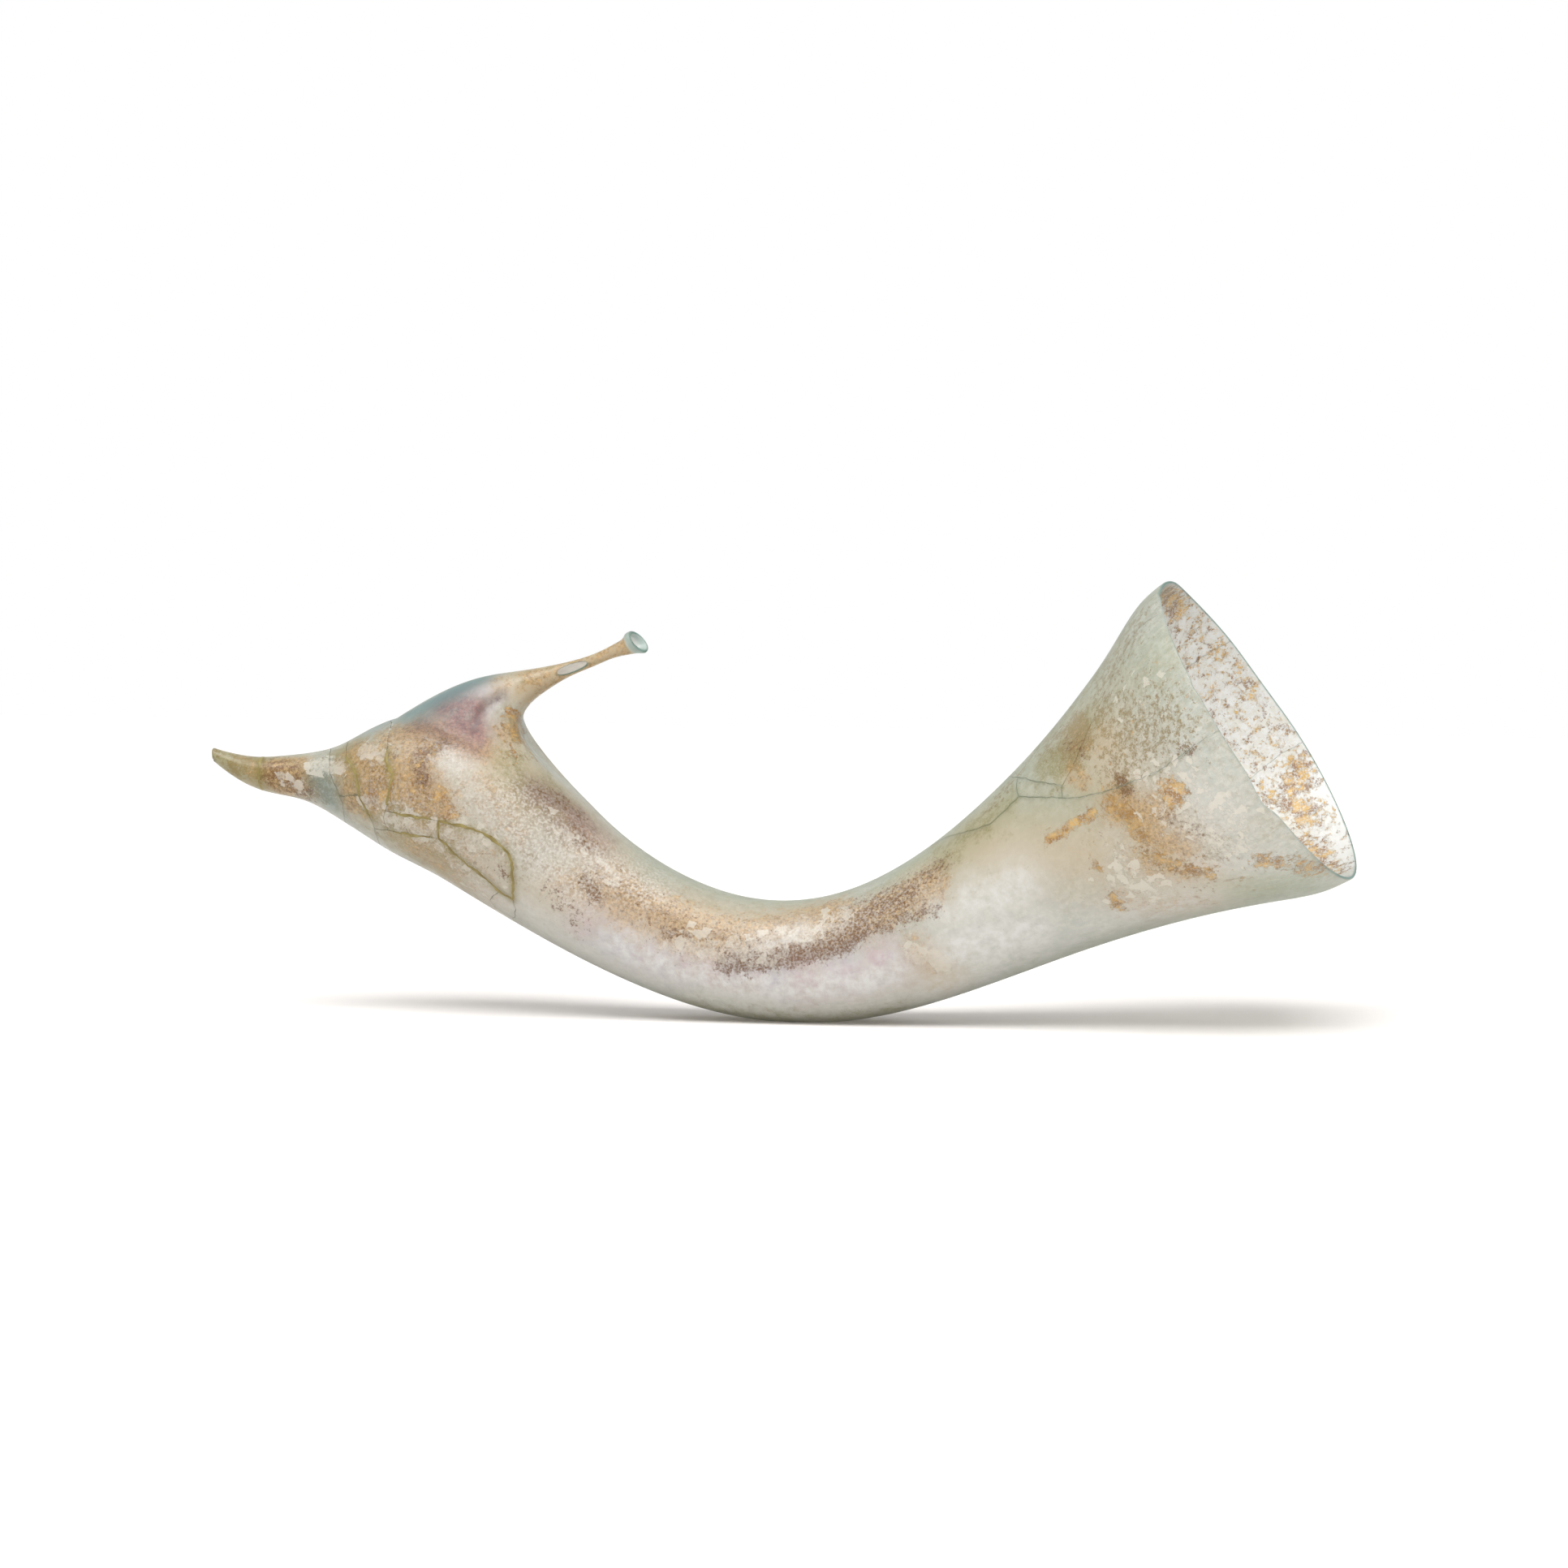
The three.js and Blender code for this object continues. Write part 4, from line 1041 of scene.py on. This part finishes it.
# How green the lips are: the tail's end and its crest, the hole's rim, and less on the mouth's near side
TAIL_GREEN = 0.35
TAIL_CREST_GREEN = 0.8
HOLE_GREEN = 0.8
HOLE_UPPER_SHARE = 0.2
HOLE_LOWER_FROM = (0.1, -0.6)
HOLE_RIM_REACH = (1.02, 1.18)
MOUTH_LIP_REACH = 5
NEAR_GREEN_LOSS = 0.7
NEAR_SIDE_FROM = (5, 30)
NEAR_SIDE_TO = (165, 140)


def path_points(path):
    """The points of a path of places: distance and degrees on the horn's outer surface, or a point in mm
    where the tail's root has left the horn."""
    return np.array([on_horn(*place) if len(place) == 2 else place for place in path], float)


def painted(points, patches):
    """How strongly a layer's patches cover each point: the greatest over its patches of the strength times
    exp(-(gap / reach) squared), where the gap is the distance from the patch's path in mm."""
    cover = np.zeros(len(points))
    for reach, strength, path in patches:
        line = path_points(path)
        gap = np.full(len(points), np.inf)
        for start, end in zip(line, line[1:]):
            run = end - start
            share = np.clip((points - start) @ run / (run @ run), 0, 1)
            gap = np.minimum(gap, np.linalg.norm(points - start - share[:, None] * run, axis=1))
        cover = np.maximum(cover, strength * np.exp(-((gap / reach) ** 2)))
    return cover


def on_the_back(patches):
    """The horn's patches again, mirrored to the far side, shifted along and weaker."""
    mirrored = []
    for reach, strength, path in patches:
        if len(path[0]) == 2:
            share = FLARE_BACK_SHARE if path[0][0] < FLARE_REACH else BACK_SHARE
            moved = [(distance + BACK_SHIFT, -degrees) for distance, degrees in path]
            mirrored.append((reach, strength * share, moved))
    return mirrored


def along_breaks(reach, strength, paths):
    """Patches along breaks, each given by its path and whether it closes on itself."""
    return [(reach, strength, path + path[:1] * closed) for path, closed in paths]


def hole_rim(points):
    """1 on the lower edge of the hole in the tail's side, little on the upper one, and 0 away from it: the
    hole's ellipsoid is where a point's offsets, divided by the half sizes, have a length of 1."""
    axes = axes_along(tail.direction(HOLE_AT, TAIL_REACH))
    offset = (points - on_tail(HOLE_AT, 90)) @ axes.T * 2 / np.array(HOLE_SIZE)
    lower = HOLE_UPPER_SHARE + (1 - HOLE_UPPER_SHARE) * smooth_step(*HOLE_LOWER_FROM, offset[:, 2])
    return lower * (1 - smooth_step(*HOLE_RIM_REACH, np.linalg.norm(offset, axis=1)))


def green_lips(points, distance, degrees, up_tail, lip):
    """How green each point's glass is seen edge-on, the strongest of the lips it lies on."""
    on_near_side = smooth_step(*NEAR_SIDE_FROM, degrees) * smooth_step(*NEAR_SIDE_TO, degrees)
    mouth = lip * (distance < MOUTH_LIP_REACH) * (1 - NEAR_GREEN_LOSS * on_near_side)
    end = TAIL_GREEN * smooth_step(*TAIL_GREEN_FROM, up_tail)
    crest = TAIL_CREST_GREEN * lip * (up_tail > CLEAR_FROM[0])
    return np.maximum.reduce([mouth, end, crest, HOLE_GREEN * hole_rim(points)])


def set_weight(made, name, values):
    """Stores a number for each vertex under a name that materials can read."""
    made.data.attributes.new(name, "FLOAT", "POINT").data.foreach_set("value", values.astype(np.float32))


def weather(made, tree, places):
    """Gives a sherd its weathering weights, from the place of the nearest point of the unbroken wall, and a
    vector that runs straight along the horn: its distance, and radius times (sin, cos) of the angle."""
    corners = corners_of(made)
    nearest = np.array([tree.find(corner)[1] for corner in corners])
    distance, degrees, up_tail, depth, lip = places[nearest].T
    outer = depth < 0.5
    clear = smooth_step(*CLEAR_FROM, up_tail)
    on_stem = smooth_step(*STEM_FROM, up_tail) * (1 - clear)
    for name, patches in OUTER_PAINT.items():
        cover = painted(corners, patches + on_the_back(patches)) * np.where(outer, 1, OUTER_SEEN_INSIDE)
        if name in INNER_PAINT:
            inside = painted(corners, INNER_PAINT[name])
            cover = np.maximum(cover, np.where(outer, INNER_SEEN_OUTSIDE, 1) * inside)
        if name in TAIL_PAINT:
            cover = np.maximum(cover, on_stem * np.where(outer, *TAIL_PAINT[name]))
        set_weight(made, name, cover)
    cracked = [(BREAKS[name], name in CLOSED_BREAKS) for name in CRACKED]
    set_weight(made, "seam", painted(corners, along_breaks(SEAM_REACH, SEAM_STAIN, BEADS.values())))
    set_weight(made, "crack", painted(corners, along_breaks(CRACK_REACH, 1, cracked)))
    set_weight(made, "lip", green_lips(corners, distance, degrees, up_tail, lip))
    set_weight(made, "clear", clear)
    set_weight(made, "within", depth)
    radius = horn.at(distance)[:, 2]
    angle = np.radians(degrees)
    straight = np.stack([distance, radius * np.sin(angle), radius * np.cos(angle)], -1) * MM
    vectors = made.data.attributes.new("straight", "FLOAT_VECTOR", "POINT")
    vectors.data.foreach_set("vector", straight.astype(np.float32).ravel())


def to_part_frame(made):
    """Moves a mesh from mm on the horn's line to metres in the part's own frame."""
    corners = (corners_of(made) - ORIGIN) * MM
    made.data.vertices.foreach_set("co", corners.astype(np.float32).ravel())
    made.data.update()


def shade_smooth(made, sharpest):
    """Smooth shading everywhere but at edges sharper than an angle in degrees."""
    made.data.shade_smooth()
    made.data.set_sharp_from_angle(angle=np.radians(sharpest))


# The patterns in the weathering: noises to the metre, detail, roughness, and the contrast and its middle
PATTERNS = {
    "tint": (45, 4, 0.55, 3, 0.5),
    "mottle": (420, 8, 0.8, 8, 0.45),
    "bloom": (700, 6, 0.7, 7, 0.35),
    "streaks": (900, 5, 0.55, 5, 0.4),
    "lilac": (350, 6, 0.55, 2, 0.65),
    "pinkish": (90, 3, 0.55, 5, 0.5),
    "sandy": (1100, 5, 0.7, 5, 0.5),
    # The next pattern mottles the painted highlights and pearly weathering
    "pearl_and_highlight_mottle": (420, 6, 0.7, 3, 0.7),
    "granular": (900, 6, 0.75, 2, 1),
    "dusky": (500, 6, 0.7, 3, 0.55),
    "patchy": (420, 4, 0.55, 6, 0.5),
    # The next two give the grain's painted shade in its pits and its painted glints
    "pit_shade": (1250, 3, 0.55, 9, 0.2),
    "painted_glints": (1700, 3, 0.55, 9, 0.2),
}
STREAK_STRETCH = (0.12, 1, 1)

# How each ragged layer lies: patches to the metre, how soft their edges are, how ragged, and how strong
RAGGED_LAYERS = {
    "moss": (620, 0.03, 0.78, 0.85),
    "olive": (260, 0.08, 0.75, 0.7),
    "ochre": (480, 0.05, 0.8, 0.8),
    "umber": (950, 0.035, 0.8, 0.92),
    "white": (520, 0.03, 0.76, 0.8),
    "rust": (560, 0.02, 0.84, 0.95),
}

# Where ragged patches begin with no weight, how much sooner with full weight, and the fine grain in them
PATCH_LEVEL = 0.67
PATCH_GAIN = 0.34
PATCH_DETAIL = 8
PATCH_GRAIN = 2200
PATCH_GRAIN_DETAIL = 2
PATCH_GRAIN_FROM = 0.36
PATCH_GRAIN_TO = 0.52
PATCH_GRAIN_LEAST = 0.35

# Angular flakes: cells to the metre, how far and how finely their edges are pushed, and how many are on
FLAKE_CELLS = 560
FLAKE_PUSH = (0.003, 0.003, 0.003)
FLAKE_PUSH_SCALE = 400
FLAKE_PUSH_DETAIL = 3
FLAKE_SHARE = 0.8

# How the glass shines: least roughness, its spread and noise, how much passes through it, and its index
GLASS_ROUGHNESS = 0.22
GLASS_ROUGHNESS_SPREAD = 0.3
GLASS_ROUGHNESS_SCALE = 120
GLASS_CLEARNESS = 0.62
GLASS_IOR = 1.45

# The relief of the weathering: the height in metres, the shares of flakes, grain and skin, and their noises
RELIEF_HEIGHT = 0.00012
FLAKE_RELIEF = 0.6
GRAIN_RELIEF = 1.4
GRAIN_SCALE = 1500
GRAIN_DETAIL = 3
SKIN_RELIEF = 0.4
SKIN_SCALE = 600

# Dried adhesive: its mottle and how far that swings, and its lumps, their strength and height in metres
MOTTLE_SCALE = 450
MOTTLE_SWING = 3
LUMP_SCALE = 1100
LUMP_STRENGTH = 0.6
LUMP_HEIGHT = 0.0001
ADHESIVE_FINISH = {"Roughness": 0.4, "Transmission Weight": 0.3}


def linear(code):
    """The linear colour of an sRGB one written as six hexadecimal digits: the level over 12.92 up to
    0.04045, and ((level + 0.055) / 1.055) to the power of 2.4 above."""
    levels = np.array([int(code[i : i + 2], 16) for i in (0, 2, 4)]) / 255
    light = np.where(levels <= 0.04045, levels / 12.92, ((levels + 0.055) / 1.055) ** 2.4)
    return (*light.tolist(), 1)


def feed(tree, socket, value):
    """Links an input to another node's output, or sets it to a value or to a colour's code."""
    if isinstance(value, bpy.types.NodeSocket):
        tree.links.new(value, socket)
    else:
        socket.default_value = linear(value) if isinstance(value, str) else value


def add(tree, kind, inputs=None, **settings):
    """A new node with its settings; each input, by name or number, is linked or set to a value."""
    made = tree.nodes.new(kind)
    for name, value in settings.items():
        setattr(made, name, value)
    for name, value in (inputs or {}).items():
        feed(tree, made.inputs[name], value)
    return made


def blend(tree, mask, below, above):
    """The colour above laid over the one below where the mask is 1."""
    return add(tree, "ShaderNodeMix", {0: mask, 6: below, 7: above}, data_type="RGBA").outputs[2]


def maths(tree, operation, *values):
    """One step of arithmetic."""
    return add(tree, "ShaderNodeMath", dict(enumerate(values)), operation=operation).outputs[0]


def weight(tree, name):
    """The weathering weight stored under a name."""
    return add(tree, "ShaderNodeAttribute", attribute_name=name).outputs["Fac"]


def product(tree, first, *others):
    """The factors multiplied, the first being a mask or the name of a weathering weight."""
    result = weight(tree, first) if isinstance(first, str) else first
    for factor in others:
        result = maths(tree, "MULTIPLY", result, factor)
    return result


def noise(tree, vector, scale, detail=4, roughness=0.55):
    """A fractal noise around a half."""
    return add(tree, "ShaderNodeTexNoise", {
        "Vector": vector, "Scale": scale, "Detail": detail, "Roughness": roughness,
    }).outputs["Fac"]


def pattern(tree, vector, scale, detail, roughness, gain, middle):
    """A fractal noise made to swing further, as gain times noise plus middle less half the gain, and kept
    between 0 and 1."""
    plain = noise(tree, vector, scale, detail, roughness)
    return add(tree, "ShaderNodeMath", {0: plain, 1: gain, 2: middle - 0.5 * gain},
               operation="MULTIPLY_ADD", use_clamp=True).outputs[0]


def new_group(name, inputs, outputs):
    """An empty node group with its sockets, and its input and output nodes."""
    group = bpy.data.node_groups.new(name, "ShaderNodeTree")
    for direction, sockets in (("INPUT", inputs), ("OUTPUT", outputs)):
        for label, kind in sockets.items():
            group.interface.new_socket(label, in_out=direction, socket_type="NodeSocket" + kind)
    entry = group.nodes.new("NodeGroupInput")
    leave = group.nodes.new("NodeGroupOutput")
    return group, entry.outputs, leave.inputs


def patch_group():
    """Ragged patches: where a fractal noise stands above a level that falls as the weight rises."""
    group, given, result = new_group(
        "Ragged patches",
        {"Vector": "Vector", "Seed": "Vector", "Weight": "Float", "Scale": "Float", "Softness": "Float",
         "Roughness": "Float"},
        {"Mask": "Float"},
    )
    moved = add(group, "ShaderNodeVectorMath", {0: given["Vector"], 1: given["Seed"]}, operation="ADD")
    ragged = noise(group, moved.outputs[0], given["Scale"], PATCH_DETAIL, given["Roughness"])
    level = maths(group, "MULTIPLY_ADD", given["Weight"], -PATCH_GAIN, PATCH_LEVEL)
    mask = add(group, "ShaderNodeMapRange", {
        "Value": ragged,
        "From Min": maths(group, "SUBTRACT", level, given["Softness"]),
        "From Max": maths(group, "ADD", level, given["Softness"]),
    }, interpolation_type="SMOOTHSTEP")
    fine = add(group, "ShaderNodeTexNoise", {
        "Vector": moved.outputs[0], "Scale": PATCH_GRAIN, "Detail": PATCH_GRAIN_DETAIL,
    })
    grain = add(group, "ShaderNodeMapRange", {
        "Value": fine.outputs["Fac"],
        "From Min": PATCH_GRAIN_FROM, "From Max": PATCH_GRAIN_TO, "To Min": PATCH_GRAIN_LEAST,
    })
    group.links.new(maths(group, "MULTIPLY", mask.outputs[0], grain.outputs[0]), result["Mask"])
    return group


def flake_group():
    """Angular flakes: the cells of a cracked skin, each on where its own random value is under the weight
    squared."""
    group, given, result = new_group(
        "Angular flakes", {"Vector": "Vector", "Weight": "Float", "Scale": "Float"}, {"Mask": "Float"},
    )
    warp = add(group, "ShaderNodeTexNoise", {
        "Vector": given["Vector"], "Scale": FLAKE_PUSH_SCALE, "Detail": FLAKE_PUSH_DETAIL,
    })
    pushed = add(group, "ShaderNodeVectorMath", {
        0: warp.outputs["Color"], 1: FLAKE_PUSH, 2: given["Vector"],
    }, operation="MULTIPLY_ADD")
    cells = add(group, "ShaderNodeTexVoronoi", {"Vector": pushed.outputs[0], "Scale": given["Scale"]})
    shade = add(group, "ShaderNodeSeparateColor", {0: cells.outputs["Color"]})
    chance = maths(group, "MULTIPLY", maths(group, "POWER", given["Weight"], 2), FLAKE_SHARE)
    group.links.new(maths(group, "LESS_THAN", shade.outputs[0], chance), result["Mask"])
    return group


def ragged_masks(tree, group, vector):
    """The mask of each ragged layer, each from its own part of the noise."""
    masks = {}
    for seed, (name, (scale, softness, roughness, strength)) in enumerate(RAGGED_LAYERS.items(), 1):
        patches = add(tree, "ShaderNodeGroup", {
            "Vector": vector, "Seed": (seed, 2 * seed, 0), "Weight": weight(tree, name), "Scale": scale,
            "Softness": softness, "Roughness": roughness,
        }, node_tree=group)
        masks[name] = maths(tree, "MULTIPLY", patches.outputs["Mask"], strength)
    return masks


def new_material(name, settings):
    """A material whose shader has the given settings, its node tree and the shader's inputs."""
    material = bpy.data.materials.new(name)
    material.use_nodes = True
    tree = material.node_tree
    shader = tree.nodes["Principled BSDF"].inputs
    for label, value in settings.items():
        shader[label].default_value = value
    return material, tree, shader


def weathered_glass(ragged, flakes):
    """Thin pale green glass, hazed all over, under layers of weathering and painted light and shade, each
    over the last.
    """
    material, tree, shader = new_material("Weathered glass", {
        "Transmission Weight": GLASS_CLEARNESS, "IOR": GLASS_IOR,
    })
    place = add(tree, "ShaderNodeTexCoord").outputs["Object"]
    along = add(tree, "ShaderNodeAttribute", attribute_name="straight").outputs["Vector"]
    streaked = add(tree, "ShaderNodeMapping", {"Vector": along, "Scale": STREAK_STRETCH}).outputs[0]
    masks = ragged_masks(tree, ragged, place)
    seen = {}
    for name, values in PATTERNS.items():
        seen[name] = pattern(tree, streaked if name == "streaks" else place, *values)
    skin = add(tree, "ShaderNodeGroup", {
        "Vector": place, "Weight": weight(tree, "white"), "Scale": FLAKE_CELLS,
    }, node_tree=flakes)
    whitened = product(tree, maths(tree, "MAXIMUM", skin.outputs[0], masks["white"]), 0.65)
    cracked = product(tree, maths(tree, "POWER", weight(tree, "crack"), 2), 0.45)
    # Darker and greener towards the silhouettes: the glass seen edge-on, and painted shade at the edges
    facing = add(tree, "ShaderNodeLayerWeight", {"Blend": 0.4}).outputs["Facing"]
    edge_green_and_shade = product(tree, maths(tree, "POWER", facing, 2.5), 0.75)
    seen_from_inside = product(tree, add(tree, "ShaderNodeNewGeometry").outputs["Backfacing"], 0.45)
    lilac = blend(tree, seen["pinkish"], "b2b0d0", "c49db0")
    sand = blend(tree, seen["sandy"], "8a5f28", "d8b070")
    rosy = blend(tree, seen["sandy"], "5e2a2c", "985c50")
    outer_flake = blend(tree, seen["patchy"], "a26a20", "e2b462")
    inner_flake = blend(tree, seen["patchy"], "8c520a", "eeb648")
    flake = blend(tree, weight(tree, "within"), outer_flake, inner_flake)

    # The bare glass, and over it each layer's mask, with its strength as the last factor, and its colour;
    # some of them painted highlights, glints and shade, as marked
    colour = blend(tree, seen["tint"], "c5ccc6", "cccabf")
    for mask, above in [
        (product(tree, seen["mottle"], 0.6), "a39b7c"),
        (product(tree, seen["bloom"], 0.5), "e6e4da"),
        (product(tree, seen["streaks"], 0.4), "a1aaa0"),
        (product(tree, "within", 0.95), "fcfcfa"),
        (product(tree, "green", 0.8), "9aa682"),
        (product(tree, "beige", 0.9), "cfbc9c"),
        (product(tree, "lilac", seen["lilac"]), lilac),
        (product(tree, "olive", 0.62), "a0965c"),
        (masks["olive"], "887e3e"),
        (masks["moss"], "846c34"),
        (product(tree, "ochre", 0.55), "be965a"),
        (masks["ochre"], sand),
        # Painted highlights and reflections, with some pearly weathering
        (product(tree, "pearl_and_highlight", seen["pearl_and_highlight_mottle"]), "f0f0ee"),
        (product(tree, "rose", seen["granular"]), rosy),
        (product(tree, "clear", 0.8), "c8d6d0"),
        # Grey-purple stains, and painted shade in the groove by the tail's root
        (product(tree, "dusk_and_crease_shade", seen["dusky"]), "64484a"),
        (masks["umber"], "643808"),
        (product(tree, "teal", 0.85), "5d8588"),
        (product(tree, "seam", 0.9), "8d7f36"),
        (cracked, "5a6b44"),
        (whitened, "ece6d8"),
        (masks["rust"], flake),
        # Dark and bright specks in the grain: painted shade in its pits and painted glints
        (product(tree, "grain", seen["pit_shade"], 0.4), "8f7660"),
        (product(tree, "grain", seen["painted_glints"], 0.6), "fbf8f2"),
        # Darker and greener towards the silhouettes: glass seen edge-on, and painted shade at the edges
        (edge_green_and_shade, "808c78"),
        (seen_from_inside, "fcfcfa"),
        (weight(tree, "lip"), "2f7166"),
    ]:
        colour = blend(tree, mask, colour, above)
    feed(tree, shader["Base Color"], colour)

    cloudy = noise(tree, place, GLASS_ROUGHNESS_SCALE)
    roughness = maths(tree, "MULTIPLY_ADD", cloudy, GLASS_ROUGHNESS_SPREAD, GLASS_ROUGHNESS)
    feed(tree, shader["Roughness"], roughness)
    relief = product(tree, maths(tree, "ADD", masks["rust"], whitened), FLAKE_RELIEF)
    grain = product(tree, "grain", noise(tree, place, GRAIN_SCALE, GRAIN_DETAIL), GRAIN_RELIEF)
    relief = maths(tree, "ADD", relief, grain)
    relief = maths(tree, "ADD", relief, product(tree, noise(tree, place, SKIN_SCALE), SKIN_RELIEF))
    relief = maths(tree, "MULTIPLY", relief, maths(tree, "SUBTRACT", 1, weight(tree, "clear")))
    bump = add(tree, "ShaderNodeBump", {"Height": relief, "Strength": 1, "Distance": RELIEF_HEIGHT})
    feed(tree, shader["Normal"], bump.outputs[0])
    return material


def dried_adhesive():
    """Yellow-olive adhesive, a little translucent and mottled."""
    material, tree, shader = new_material("Dried adhesive", ADHESIVE_FINISH)
    place = add(tree, "ShaderNodeTexCoord").outputs["Object"]
    mottle = noise(tree, place, MOTTLE_SCALE)
    mottle = maths(tree, "MULTIPLY_ADD", mottle, MOTTLE_SWING, (1 - MOTTLE_SWING) / 2)
    feed(tree, shader["Base Color"], blend(tree, mottle, "7e6d30", "a69657"))
    bump = add(tree, "ShaderNodeBump", {
        "Height": noise(tree, place, LUMP_SCALE), "Strength": LUMP_STRENGTH, "Distance": LUMP_HEIGHT,
    })
    feed(tree, shader["Normal"], bump.outputs[0])
    return material


def finish_piece(made, name, material, sharpest):
    """Moves a piece to the part's frame, gives it its material and lets it stand for its CAD node."""
    to_part_frame(made)
    shade_smooth(made, sharpest)
    made.name = name + "_surface"
    made.data.name = made.name
    made.data.materials.clear()
    made.data.materials.append(material)
    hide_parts(name)
    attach(made, "root")


def build_vessel():
    """Every sherd and bead, standing in for its CAD node."""
    found, wall_points, places = broken_vessel()
    tree = KDTree(len(wall_points))
    for i, point in enumerate(wall_points):
        tree.insert(point, i)
    tree.balance()
    glass = weathered_glass(patch_group(), flake_group())
    adhesive = dried_adhesive()
    for name, sherd in found.items():
        weather(sherd, tree, places)
        finish_piece(sherd, name, glass, SHERD_SHARPEST)
    for name, (path, closed) in BEADS.items():
        finish_piece(bead(name, path, closed), name, adhesive, BEAD_SHARPEST)


# The camera: the photo's width in mm at the vessel, its distance, and its angles round and above the vessel
PHOTO_WIDTH = 356.5
CAMERA_DISTANCE = 2476
CAMERA_AZIMUTH = 10.6
CAMERA_ELEVATION = 5
CAMERA_TARGET = (-3.71, 0, 53.98)
SENSOR_WIDTH = 36

# The light: how bright the world is that falls on things, and the lamp's place, size and power
WORLD_LIGHT = 0.63
LAMP_PLACE = (0, -1.1, 2.2)
LAMP_SIZE = (2.8, 1.6)
LAMP_POWER = 79

# The floor: how far it runs to the sides and front and to the back in mm, its height, and its finish
FLOOR_REACH = 1500
FLOOR_BACK = 800
FLOOR_HEIGHT = -0.02
FLOOR_FINISH = {
    "Base Color": (0.84, 0.81, 0.79, 1),
    "Roughness": 1,
    "Specular IOR Level": 0,
    "Emission Color": (1, 1, 1, 1),
    "Emission Strength": 0.05,
}


def build_floor():
    """A pale floor that is white where no shadow falls."""
    corners = [
        (-FLOOR_REACH, -FLOOR_REACH, FLOOR_HEIGHT), (FLOOR_REACH, -FLOOR_REACH, FLOOR_HEIGHT),
        (FLOOR_REACH, FLOOR_BACK, FLOOR_HEIGHT), (-FLOOR_REACH, FLOOR_BACK, FLOOR_HEIGHT),
    ]
    floor = make_mesh("floor", corners, [(0, 1, 2, 3)])
    floor.data.transform(Matrix.Scale(MM, 4))
    floor.data.materials.append(new_material("Floor", FLOOR_FINISH)[0])


def build_light():
    """A white world, dimmer for what it lights than for what is seen, and a wide soft lamp in front."""
    world = bpy.data.worlds.new("World")
    bpy.context.scene.world = world
    world.use_nodes = True
    tree = world.node_tree
    path = add(tree, "ShaderNodeLightPath").outputs
    seen = maths(tree, "MAXIMUM", path["Is Camera Ray"], path["Is Transmission Ray"])
    seen = maths(tree, "MAXIMUM", seen, path["Is Glossy Ray"])
    background = tree.nodes["Background"].inputs
    feed(tree, background["Strength"], maths(tree, "MULTIPLY_ADD", seen, 1 - WORLD_LIGHT, WORLD_LIGHT))
    feed(tree, background["Color"], (1, 1, 1, 1))
    lamp = bpy.data.lights.new("soft lamp", "AREA")
    lamp.shape = "RECTANGLE"
    lamp.size, lamp.size_y = LAMP_SIZE
    lamp.energy = LAMP_POWER
    made = bpy.data.objects.new("soft lamp", lamp)
    made.location = LAMP_PLACE
    made.rotation_euler = (-Vector(LAMP_PLACE)).to_track_quat("-Z", "Y").to_euler()
    bpy.context.scene.collection.objects.link(made)


def build_camera():
    """A long lens far off, at the photo's angle."""
    camera = bpy.data.cameras.new("Camera")
    camera.sensor_width = SENSOR_WIDTH
    camera.lens = SENSOR_WIDTH * CAMERA_DISTANCE / PHOTO_WIDTH
    camera.clip_end = 100
    made = bpy.data.objects.new("Camera", camera)
    azimuth = np.radians(CAMERA_AZIMUTH)
    elevation = np.radians(CAMERA_ELEVATION)
    level = np.cos(elevation)
    back = Vector((np.sin(azimuth) * level, -np.cos(azimuth) * level, np.sin(elevation)))
    made.location = Vector(CAMERA_TARGET) * MM + back * CAMERA_DISTANCE * MM
    made.rotation_euler = back.to_track_quat("Z", "Y").to_euler()
    bpy.context.scene.collection.objects.link(made)
    bpy.context.scene.camera = made


build_vessel()
build_floor()
build_light()
build_camera()
bpy.context.scene.view_settings.view_transform = "Standard"
